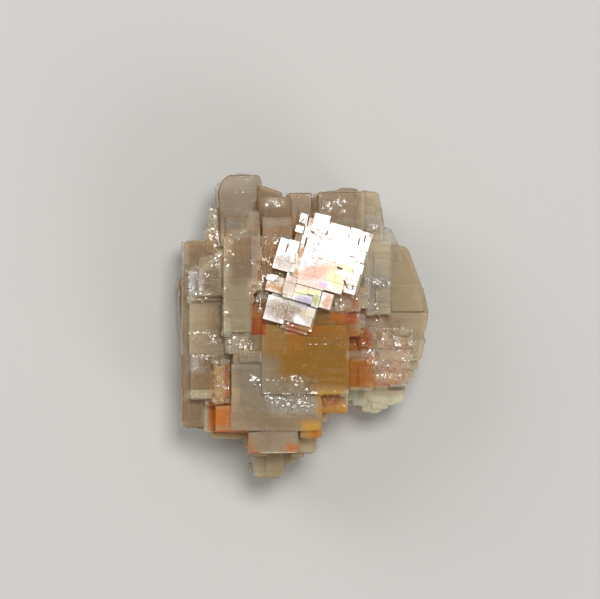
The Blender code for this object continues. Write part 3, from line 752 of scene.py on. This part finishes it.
def halite_material():
    """Rock salt: smoky where it is thick, frosted where edges are worn, with painted highlights along edges
    and a painted glow near them, stained in the joints, with painted shade and light in some places.
    """
    material, nodes, shader, place, seen = new_material("halite")
    large = nodes.group(block_tones, Place=place, Size=BLOCKS)[0]
    small = nodes.group(block_tones, Place=place, Size=SMALL_BLOCKS)[0]
    tone = nodes.math("MULTIPLY_ADD", small, SMALL_BLOCK_SHARE, nodes.noise(place, *BASE_NOISE))
    tone = nodes.math("MULTIPLY_ADD", large, BLOCK_SHARE, tone)
    colour = nodes.mix(nodes.ramp(tone, *BASE_LIMITS), SMOKY, PALE)
    # Painted light: places near edges, with little crystal behind them, are tinted milky for the light that
    # scatters out there.
    thin = nodes.add("AmbientOcclusion", {"Distance": PAINTED_GLOW_REACH}, samples=6, inside=True, only_local=True)
    colour = nodes.tint(colour, MILKY, nodes.ramp(thin["AO"], *PAINTED_GLOW_RAMP), PAINTED_GLOW)
    colour = nodes.tint(colour, FROST, nodes.clouds(place, *VEIL), VEIL_SHARE)
    # Edges frosted by wear and painted with highlights where light catches them, broken up by clouds.
    broken = nodes.math("MULTIPLY_ADD", nodes.clouds(place, *BROKEN), 0.9, 0.1)
    worn = nodes.group(worn_and_lit_edge, Width=EDGE_WIDTH)[0]
    edge = nodes.math("MULTIPLY", nodes.math("MULTIPLY", worn, broken), EDGE_FROST_AND_HIGHLIGHT)
    colour = nodes.mix(edge, colour, FROST)
    stained = nodes.vector("ADD", seen, nodes.shift(place, *WANDER))
    for *box, soft, stain, strength in STAINS_AND_PAINTED_LIGHT:
        mask = box_mask(nodes, stained if soft > WANDER_FROM else seen, *box, soft)
        colour = nodes.tint(colour, stain, mask, strength)
    mottle = nodes.noise(place, *MOTTLE_NOISE)
    colour = nodes.tones(colour, mottle, MOTTLES)
    line = nodes.noise(nodes.vector("MULTIPLY", place, LAYERED), *LINE_NOISE)
    colour = nodes.tones(colour, line, LINES)

    crusted = 0.0
    for crust in CRUSTS.values():
        crusted = nodes.math("MAXIMUM", crusted, box_mask(nodes, stained, *crust[:4], CRUST_DOWN, CRUST_SOFT))
    crusted = nodes.math("MULTIPLY", crusted, nodes.clouds(place, *PATCHY))
    tilt = nodes.math("MULTIPLY", crusted, GRAIN_TILT)
    grain = nodes.group(grains, Place=place, Scale=GRAIN_SCALE, Tilt=tilt)
    light = nodes.math("MULTIPLY", nodes.ramp(grain["Tone"], 0.55, 1.0), crusted)
    dark = nodes.math("MULTIPLY", nodes.ramp(grain["Tone"], 0.35, 0.0), crusted)
    colour = nodes.tint(colour, FROST, light, 0.6)
    colour = nodes.tint(colour, GRAIN_DARK, dark, 0.45)
    # The edges' frost and painted highlight, laid again over the stains.
    colour = nodes.tint(colour, FROST, edge, EDGE_HIGHLIGHT_OVER_STAIN)

    rough = nodes.math("MULTIPLY_ADD", nodes.noise(place, *POLISH_NOISE), 0.05, 0.09)
    for box in ETCHED:
        etched = nodes.math("MULTIPLY", box_mask(nodes, seen, *box), ETCHED_ROUGHNESS)
        rough = nodes.math("MAXIMUM", rough, etched)
    rough = nodes.math("MULTIPLY_ADD", edge, 0.2, rough)
    nodes.feed(shader, {"Base Color": colour, "Roughness": rough, "Normal": grain["Normal"], "IOR": IOR})
    nodes.feed(shader, {"Transmission Weight": TRANSMISSION, "Subsurface Weight": 1.0})
    nodes.feed(shader, {"Subsurface Radius": SCATTER_COLOUR, "Subsurface Scale": SCATTER_REACH})
    absorbed = nodes.add("VolumeAbsorption", {"Color": THICK_COLOUR, "Density": THICK_DENSITY})[0]
    nodes.feed(nodes.tree.nodes["Material Output"].inputs, {"Volume": absorbed})
    return material


body.data.materials.clear()
body.data.materials.append(halite_material())
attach(body, "root")
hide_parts("halite_crystal")

# ---- The turned crystal's cleaved top --------------------------------
# Salt splits along its cube faces, and here the top has split into thin sheets that mirror the light. Their
# pearly white is partly their milky colour and partly painted sheen, and the pastel colours that air between
# some of them gives are painted into their colour. The cracks between them are dark slivers of painted
# shadow, and strips of the dull bed show between them.
SHEET_SEED = 7
SHEET_MIDDLE = (4.5, 13.0, 29.4)  # as seen
SHEET_RISE = (0.12, 0.28)
SHEET_GAP = (-0.03, 0.02)
SHEET_ROOT = 0.45
SHEET_WORN = 0.03
ABOVE_SHEETS = 5.0  # how far above the top the rays start that find it
# Sheets by group, in the turned crystal's own square frame: x from, to, y from, to. A group lies level,
# tipped in degrees off the crystal's top by this about x and y, and by this from one sheet to the next.
SHEETS = {
    (0, 0, 0.35): [
        (-0.65, 3.25, 4.25, 7.75), (3.58, 5.62, 5.7, 7.8), (3.28, 5.62, 4.25, 5.66), (5.8, 6.6, 5.2, 7),
        (5.7, 7.85, 3.95, 5.15), (6.78, 7.85, 5.2, 6.9), (5.75, 7.3, 7.05, 7.65), (-0.65, 2.4, 0.29, 4.2),
        (2.42, 5.64, 1.6, 4.2), (2.42, 5.2, 0.08, 1.57), (5.25, 6, 0.08, 1.35), (5.68, 7.6, 1.65, 3.75),
        (6.1, 7.85, -0.7, 1.5), (6.14, 7.55, -2.15, -0.74), (-5.35, -4.45, 2.05, 3.9),
        (-5.2, -4.3, 3.95, 5.5), (2.98, 5.05, -2.18, -1),
    ],
    (0.1, 0.3, 0.4): [(-5.42, -5.14, 5.65, 8), (-6.72, -5.6, 6.1, 7.95), (-7.05, -5.5, 4.1, 5.45)],
    (0.6, 0.4, 0.9): [
        (-4.2, -2.1, 2.2, 4.55), (-2.08, -0.7, 2.2, 5.1), (-4.25, -0.68, 0.32, 2.17),
        (-3.2, -2.1, 4.58, 5.1), (-4.3, -2.2, -1.9, 0.28), (-2.18, -1.2, -1.9, 0.28),
        (-4.4, -1.2, -3.6, -1.93), (-1.17, 2.95, -3.6, 0.05), (3.05, 5.9, -0.62, 0.05),
        (3.95, 5.05, -0.97, -0.65), (5.1, 6.05, -2.2, -0.66), (-4.1, 1.36, -5.75, -3.63),
        (1.39, 5, -5.6, -3.63), (2.98, 5, -3.6, -2.22), (5.28, 7.5, -5, -3.5), (5.32, 7.5, -3.25, -2.4),
    ],
    (0.5, 0.5, 0.9): [(-4.05, -2.4, 5.15, 8.75), (-2.38, -0.98, 5.2, 8.85)],
    (0.8, -0.8, 0.9): [
        (-9.4, -7.85, -0.3, 1.2), (-7.58, -5.15, -0.3, 2.35), (-9.35, -7.7, 1.25, 2.25),
        (-9.45, -6.8, -2.1, -0.35), (-9.5, -8.3, -4, -2.15), (-8.25, -6.1, -4, -2.15),
        (-6.75, -4.5, -2.1, -0.35), (-6.05, -4.5, -3.9, -2.15),
    ],
    (1, 0, 1): [(-10, -8.45, -6.25, -5.3)],
    (1.2, 0, 1.1): [(-7.9, -7.1, -6, -5.2)],
    (4, 0, 1.2): [(-8.9, -6.3, -8.3, -6.9)],
    (2.4, 1.4, 1): [
        (-6.35, -4.15, -5.9, -4.05), (-6.35, -4.15, -8.3, -5.95), (-4.1, -1.5, -7.4, -5.85),
        (-1.45, 1.15, -7.1, -5.85), (-4.1, -0.2, -9, -7.45), (-0.15, 1.2, -9.3, -7.15),
        (1.4, 3.6, -9.05, -5.95),
    ],
    (4.5, 2.5, 1.4): [
        (-8.7, -4.5, -11.4, -9.1), (-8.6, -4.5, -14, -11.45), (-4.45, -0.9, -11.3, -9.1),
        (-4.45, 0.9, -13.2, -11.35), (-0.85, 1, -11.3, -9.35),
    ],
}
sheet_chance = np.random.default_rng(SHEET_SEED)
sheet_start = Vector(seen_point(*SHEET_MIDDLE))
ground, _, _, _ = surface.ray_cast(sheet_start + turned_normal * ABOVE_SHEETS, -turned_normal)


def bed_height(x, y):
    """How far under the crystal's middle its surface is at (x, y) of its own frame."""
    hit, _, _, _ = surface.ray_cast(ground + turned @ Vector((x, y, ABOVE_SHEETS)), -turned_normal)
    return (hit - ground).dot(turned_normal)


def sheet_plates():
    """The plate arrays of the sheets: a group lies level, on the highest ground under its sheets' middles."""
    sheets = []
    for (tip_x, tip_y, spread), rows in SHEETS.items():
        height = max(bed_height((row[0] + row[1]) / 2, (row[2] + row[3]) / 2) for row in rows)
        for x_low, x_high, y_low, y_high in rows:
            middle = ((x_low + x_high) / 2, (y_low + y_high) / 2, height)
            half = np.array([(x_high - x_low) / 2, (y_high - y_low) / 2])
            tips = np.radians(sheet_chance.normal(0, spread, 2) + (tip_x, tip_y))
            turn = turned @ Matrix.Rotation(tips[0], 3, "X") @ Matrix.Rotation(tips[1], 3, "Y")
            half = half - sheet_chance.uniform(*SHEET_GAP)
            sheets.append((ground + turned @ Vector(middle), half, turn, sheet_chance.uniform(*SHEET_RISE)))
    return sheets


def plate_piece(name, plates, root, worn_most, material):
    """One mesh of closed plates that replaces part of the crystal. A plate is (middle, half, axes, rise)."""
    middles, own_halves, own_axes, own_rises = (np.array(column) for column in zip(*plates))
    worn = np.minimum(own_rises * 0.3, worn_most)
    piece = plates_mesh(name, plate_vertices(middles, own_halves, own_axes, root, own_rises, worn))
    scene.collection.objects.link(piece)
    piece.data.materials.append(material)
    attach(piece, "root")
    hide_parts("halite_crystal")
    return piece


BRIGHT_ROUGHNESS = 0.3
DULL_ROUGHNESS = 0.6
# Painted sheen: the sheets' near-white colour stands partly for the light they mirror, and the grey stands
# for a duller sheen where they are mottled.
PEARL_AND_SHEEN = (0.84, 0.83, 0.82, 1)
DULLED_SHEEN_GREY = (0.4, 0.38, 0.36, 1)
# Soft patches in the same frame: middle x and y, half length, half width, angle, colour, strength. Their
# pastels are painted interference colours of the air between the sheets.
PATCHES = [
    (0.6, -3.9, 6.8, 3.6, 14, (0.8, 0.68, 0.58, 1), 0.9),
    (-7.4, -2.4, 2.8, 1.8, 0, (0.62, 0.51, 0.41, 1), 0.9),
    (-5.2, -6.4, 1.6, 2.4, 0, (0.54, 0.43, 0.33, 1), 0.9),
    (-1.1, -2.7, 4.7, 1.8, 30, (0.84, 0.45, 0.33, 1), 1),
    (2.3, -0.75, 1.7, 0.7, 25, (0.76, 0.56, 0.31, 1), 0.85),
    (4.7, -0.3, 2.4, 0.7, -15, (0.84, 0.79, 0.38, 1), 0.8),
    (3, -3.2, 2, 2, 20, (0.7, 0.78, 0.36, 1), 0.9),
    (4, -1.5, 1.2, 0.6, 0, (0.86, 0.84, 0.86, 1), 0.95),
    (2.1, -4.6, 1.3, 0.8, 0, (0.82, 0.76, 0.9, 1), 0.9),
    (0.9, -4.8, 1.1, 0.7, 15, (0.86, 0.4, 0.72, 1), 0.95),
    (-1.6, -5.8, 3.6, 0.9, 12, (0.76, 0.54, 0.44, 1), 0.9),
    (-1.6, -7, 3.6, 0.7, 18, (0.7, 0.72, 0.33, 1), 0.95),
    (-1.7, -8.6, 2.2, 1.2, 5, (0.4, 0.35, 0.5, 1), 0.95),
    (0.5, -8, 0.8, 1.5, 0, (0.4, 0.38, 0.13, 1), 0.95),
    (4.6, -4.7, 0.9, 1, 0, (0.84, 0.66, 0.46, 1), 0.7),
    (2.7, -7.7, 1.3, 2.2, 0, (0.6, 0.34, 0.22, 1), 1),
    (1.8, -6.9, 0.4, 1, 0, (0.86, 0.84, 0.76, 1), 0.9),
    (-7.6, -7.6, 1.8, 1.2, 0, (0.5, 0.28, 0.11, 1), 1),
    (-7.4, -5.6, 0.9, 0.8, 0, (0.62, 0.42, 0.24, 1), 1),
    (-4.2, -11.6, 6.2, 2.9, 0, (0.28, 0.19, 0.11, 1), 0.95),
    (-0.4, -10.8, 1.7, 0.9, 20, (0.64, 0.56, 0.38, 1), 0.9),
    (-1.7, -12.4, 1.5, 0.9, -35, (0.88, 0.84, 0.88, 1), 0.95),
    (-4.6, -13.9, 0.8, 0.6, 0, (0.88, 0.84, 0.84, 1), 0.9),
]
MOTTLED = [
    (-2.5, 2.2, 2.4, 7.2, 0), (-5, -5.4, 0.9, 1.6, 0), (6.4, -3.7, 1.4, 1.5, 0), (-7.4, -2.2, 2.4, 1.8, 0),
]
SHEET_WANDER = (0.8, 4.0, (1.7, 1.7, 0))
MOTTLE_CLOUDS = (1.5, 5.0, 0.75, 0.46, 0.58)
SHEET_GRAIN = {"Scale": 4.0, "Tilt": 0.04}


def soft_patch_group():
    """1 inside an ellipse, falling to 0 at its rim: the length of (off . Along, off . Over), turned round."""
    sockets = {"Place": "Vector", "Middle": "Vector", "Along": "Vector", "Over": "Vector"}
    group, nodes, start, end = new_group("soft patch", sockets, {"Mask": "Float"})
    off = nodes.vector("SUBTRACT", start["Place"], start["Middle"])
    along = nodes.vector("DOT_PRODUCT", off, start["Along"])
    over = nodes.vector("DOT_PRODUCT", off, start["Over"])
    squares = nodes.math("ADD", nodes.math("MULTIPLY", along, along), nodes.math("MULTIPLY", over, over))
    nodes.feed(end, {"Mask": nodes.ramp(nodes.math("SQRT", squares), 1.35, 0.35)})
    return group


soft_patch = soft_patch_group()


def patch_mask(nodes, place, x, y, half_length, half_width, angle):
    """How far a place of the turned crystal's frame is inside an ellipse."""
    c, s = math.cos(math.radians(angle)), math.sin(math.radians(angle))
    along = (c / half_length, s / half_length, 0)
    over = (-s / half_width, c / half_width, 0)
    return nodes.group(soft_patch, Place=place, Middle=(x, y, 0), Along=along, Over=over)[0]


def pearly_sheen_material():
    """Split sheets of clear salt with air between: painted pearly sheen, mottled with a greyer, duller
    painted sheen where they touch, and painted pastel interference colours in bands.
    """
    material, nodes, shader, place, _ = new_material("pearly halite with painted sheen")
    off = nodes.vector("SUBTRACT", place, tuple(ground))
    own = nodes.join(*[nodes.vector("DOT_PRODUCT", off, tuple(turned.col[axis])) for axis in (0, 1)])
    warped = nodes.vector("ADD", own, nodes.shift(place, *SHEET_WANDER))
    colour = PEARL_AND_SHEEN
    dull = 0.0
    for *ellipse, patch_colour, strength in PATCHES:
        mask = nodes.math("MULTIPLY", patch_mask(nodes, warped, *ellipse), strength)
        colour = nodes.mix(mask, colour, patch_colour)
        dull = nodes.math("MAXIMUM", dull, mask)
    mottled = 0.0
    for ellipse in MOTTLED:
        mottled = nodes.math("MAXIMUM", mottled, patch_mask(nodes, warped, *ellipse))
    mottled = nodes.math("MULTIPLY", mottled, nodes.clouds(place, *MOTTLE_CLOUDS))
    dull = nodes.math("MAXIMUM", dull, mottled)
    # Painted sheen: greyer where the sheets are mottled and mirror less.
    colour = nodes.tint(colour, DULLED_SHEEN_GREY, mottled, 0.8)
    grain = nodes.group(grains, Place=place, **SHEET_GRAIN)
    # Painted sheen on some grains.
    colour = nodes.tint(colour, PEARL_AND_SHEEN, nodes.ramp(grain["Tone"], 0.7, 1.0), 0.4)
    rough = nodes.math("MULTIPLY_ADD", dull, DULL_ROUGHNESS - BRIGHT_ROUGHNESS, BRIGHT_ROUGHNESS)
    nodes.feed(shader, {"Base Color": colour, "Roughness": rough, "Normal": grain["Normal"], "IOR": IOR})
    return material


DULL = 0.9


def cloudy_material(name, clouds, first, second):
    """A dull material of two colours in clouds."""
    material, nodes, shader, place, _ = new_material(name)
    colour = nodes.mix(nodes.clouds(place, *clouds), first, second)
    nodes.feed(shader, {"Base Color": colour, "Roughness": DULL})
    return material


# The bed under the sheets: clay-brown, and paler where they still touch it. In the same frame: x from, to,
# y from, to, and how far it is under the crystal's top.
BED_CLOUDS = (0.8, 3.0, 0.5, 0.35, 0.6)
BED_COLOURS = ((0.55, 0.30, 0.14, 1), (0.80, 0.72, 0.64, 1))
BED_RISE = 0.05
BED_WORN = 0.01
BEDS = [
    (-5.2, 7.6, -4.6, 7.5, 0), (-9.2, -5.6, -3.7, 1.7, 0.5), (-4, -1.4, 7.6, 8.6, 0.3),
    (-6.1, 1, -8.9, -4.9, 0.8), (-9.7, -5.9, -8.3, -5.1, 2.75),
]


def bed_plates():
    """One thin plate under each group of sheets, drawn in from their outer edge."""
    beds = []
    for x_low, x_high, y_low, y_high, sunk in BEDS:
        middle = ground + turned @ Vector(((x_low + x_high) / 2, (y_low + y_high) / 2, -sunk))
        beds.append((middle, ((x_high - x_low) / 2, (y_high - y_low) / 2), turned, BED_RISE))
    return beds


# Open cracks, as seen: across and up at one end and at the other, and how wide they gape. Each is a dark
# sliver of painted shadow in the gap, brown where clay has washed in.
CRACKS = [
    (9.9, 19.4, 9.3, 17.7, 0.38), (5.3, 18.9, 4.9, 18, 0.23), (2, 18.9, 2.6, 18.3, 0.38),
    (1.6, 22, 1.2, 19.9, 0.27), (0.7, 21.4, -0.4, 20.2, 0.23), (-2.4, 16.2, -3.1, 14.9, 0.27),
    (-4.3, 17.2, -4.5, 16.4, 0.19), (1.1, 17.6, 0.7, 15.8, 0.27), (12.7, 18, 12.4, 16.8, 0.27),
    (11.5, 17.4, 11.2, 16, 0.23), (11.8, 15, 13, 14.7, 0.19), (11.6, 12.5, 12.5, 12.2, 0.19),
    (7.1, 11.75, 8.1, 11.35, 0.3), (4.4, 7.25, 6.6, 6.35, 0.38), (8.4, 9.2, 9.1, 7.6, 0.23),
    (9.5, 9.3, 10.5, 9, 0.19), (5.5, 17.3, 6.3, 17.35, 0.15), (9.6, 13.9, 10.6, 13.7, 0.19),
    (-1.1, 14.6, -1.2, 12.4, 0.11), (10.2, 8.2, 10, 7.2, 0.19),
]
CRACK_CLOUDS = (1.2, 2.0, 0.5, 0.4, 0.6)
CRACK_SHADOW_COLOURS = ((0.05, 0.02, 0.015, 1), (0.28, 0.10, 0.05, 1))
CRACK_DEEP = 0.5
CRACK_PROUD = 0.06
CRACK_WORN = 0.005
CRACK_SPOTS = 9  # places along a crack where the sheets' height is read


def tree_of(mesh):
    """A mesh as a surface that rays can be cast at, in millimetres."""
    faces = [tuple(face.vertices) for face in mesh.polygons]
    return BVHTree.FromPolygons([vertex.co / MM for vertex in mesh.vertices], faces)


def crack_plates(sheets):
    """A thin dark sliver of painted shadow along each crack, square to the sheets and just proud of the
    highest one there.
    """
    tops = tree_of(sheets)
    cracks = []
    for x0, y0, x1, y1, width in CRACKS:
        spots = [(x0 + (x1 - x0) * t, y0 + (y1 - y0) * t) for t in np.linspace(0, 1, CRACK_SPOTS)]
        ends = [seen_hit(tops, *spot)[0] or seen_hit(surface, *spot)[0] for spot in spots]
        along = (ends[-1] - ends[0]) - turned_normal * (ends[-1] - ends[0]).dot(turned_normal)
        length = along.length
        along.normalize()
        highest = max((end - ground).dot(turned_normal) for end in ends)
        middle = (ends[0] + ends[-1]) / 2
        middle += turned_normal * (highest - (middle - ground).dot(turned_normal))
        own_axes = np.array([along, turned_normal.cross(along), turned_normal]).T
        cracks.append((middle, (length / 2, width / 2), own_axes, CRACK_PROUD))
    return cracks


sheets = plate_piece("turned_crystal_sheets", sheet_plates(), SHEET_ROOT, SHEET_WORN, pearly_sheen_material())
bed_material = cloudy_material("parting", BED_CLOUDS, *BED_COLOURS)
plate_piece("turned_crystal_bed", bed_plates(), SHEET_ROOT, BED_WORN, bed_material)
# Painted shadow: the cracks' dark colour stands for the shade in their gaps, brown where clay has washed in.
crack_shadow_material = cloudy_material("crack shadow", CRACK_CLOUDS, *CRACK_SHADOW_COLOURS)
plate_piece("turned_crystal_crack_shadows", crack_plates(sheets.data), CRACK_DEEP, CRACK_WORN, crack_shadow_material)

# ---- White flecks ----------------------------------------------------
# Rows of brine bubbles and bruised spots at the joints between cubes, which look like rows of tiny bright
# stitches. Each is a chip of frosted salt a few tenths of a millimetre across, white partly by its frost and
# partly as painted glints where light flashes off small chips.
# Rows as seen: across and up at one end, at the other end, how many, how far off the row, largest half size.
FLECK_ROWS = [
    (-22.2, -1.2, -18.4, -1.3, 26, 0.1, 0.17), (-18.4, -1.4, -16.6, -3.2, 16, 0.25, 0.17),
    (-22.2, -5.7, -16.4, -5.8, 30, 0.08, 0.14), (-22.4, -13.2, -17.6, -13.3, 20, 0.05, 0.1),
    (-10.2, -10.2, -8.4, -10.2, 18, 0.34, 0.26), (-8.4, -10.4, -5.2, -10.5, 16, 0.05, 0.11),
    (-9.9, 12.6, -9.3, 12.6, 7, 0.22, 0.24), (1.4, -3.4, 5.2, -3.4, 18, 0.06, 0.15),
    (6.9, -3.4, 11.4, -3.5, 10, 0.05, 0.11), (1, -2.2, 8.6, -2.2, 16, 0.03, 0.07),
    (-5, -14.4, 2.8, -15.4, 64, 0.75, 0.2), (-3.6, -13.2, 0.8, -13.4, 22, 0.1, 0.14),
    (-8.2, -24.8, -1, -24.8, 26, 0.03, 0.07), (-6, 24.6, -4, 24.4, 24, 0.4, 0.2),
    (-0.4, 25.8, 4.2, 25.9, 20, 0.12, 0.15), (5.2, 23.6, 8.4, 24.6, 10, 0.6, 0.16),
    (-13.4, 26.7, -9.6, 26.7, 22, 0.06, 0.12), (-14, 29.4, -9.2, 29.4, 18, 0.25, 0.11),
    (13.2, 8.9, 17.5, 9, 46, 0.45, 0.2), (13.9, 5, 15.6, 4.2, 9, 0.4, 0.18),
    (13.8, -0.4, 22.2, -0.5, 30, 0.1, 0.14), (22, -1, 21.6, -6.8, 22, 0.15, 0.15),
    (14.2, -7.4, 16.2, -7, 12, 0.25, 0.17), (-4.4, 0.4, 1.4, 1.6, 34, 0.6, 0.22),
    (-18.2, 13, -11, 19, 26, 0.35, 0.15), (-22.1, 10.6, -21.9, 6.4, 26, 0.3, 0.18),
    (-15.3, 8, -15.2, 2, 20, 0.1, 0.13), (-15, -2, -10.6, -4.4, 46, 0.9, 0.18),
    (-8.6, 8.8, -5.4, 6, 22, 0.8, 0.18), (-7.6, 17.8, -3.4, 17.6, 16, 0.35, 0.15),
]
FLECK_SEED = 19
FLECK_LEAST = 0.2  # the smallest, as a share of the row's largest
FLECK_RARITY = 1.6  # the higher, the rarer the large ones
FLECK_SIDES = ((0.5, 0.3), (1.5, 0.8))
FLECK_TIP = 0.10
FLECK_RISE = (0.03, 0.2)  # the least, and a share of the half size
FLECK_ROOT = 0.05
FLECK_WORN = 0.1
FLECK_CLOUDS = (0.6, 2.0, 0.5, 0.4, 0.65)
FLECK_WHITE_AND_GLINT = (0.96, 0.93, 0.86, 1)
FLECK_CREAM = (0.90, 0.84, 0.70, 1)
FLECK_POLISH = (2.0, 2.0)
fleck_spread = np.random.default_rng(FLECK_SEED)


def fleck_plates():
    """Chips at random along each row, off it by a normal spread, laid on the surface and a little tipped."""
    grown_surface = tree_of(grown)
    flecks = []
    for x0, y0, x1, y1, count, off, most in FLECK_ROWS:
        along = fleck_spread.random(count)
        spots = np.outer(1 - along, (x0, y0)) + np.outer(along, (x1, y1))
        for spot in spots + fleck_spread.normal(0, off, (count, 2)):
            hit, normal = seen_hit(grown_surface, *spot)
            if hit is None:
                continue
            size = most * fleck_spread.uniform(FLECK_LEAST, 1.0) ** FLECK_RARITY
            tips = fleck_spread.normal(0, FLECK_TIP, 2)
            turn = normal.to_track_quat("Z", "Y").to_matrix()
            turn = turn @ Matrix.Rotation(tips[0], 3, "X") @ Matrix.Rotation(tips[1], 3, "Y")
            rise = FLECK_RISE[0] + size * FLECK_RISE[1]
            flecks.append((hit, size * fleck_spread.uniform(*FLECK_SIDES), turn, rise))
    return flecks


def frosted_glint_material():
    """Bruised salt: white to cream in clouds, partly painted glints, with a broken polish."""
    material, nodes, shader, place, _ = new_material("frosted salt with painted glints")
    colour = nodes.mix(nodes.clouds(place, *FLECK_CLOUDS), FLECK_WHITE_AND_GLINT, FLECK_CREAM)
    rough = nodes.math("MULTIPLY_ADD", nodes.noise(place, *FLECK_POLISH), 0.4, 0.15)
    nodes.feed(shader, {"Base Color": colour, "Roughness": rough, "IOR": IOR})
    return material


plate_piece("white_flecks_and_glints", fleck_plates(), FLECK_ROOT, FLECK_WORN, frosted_glint_material())
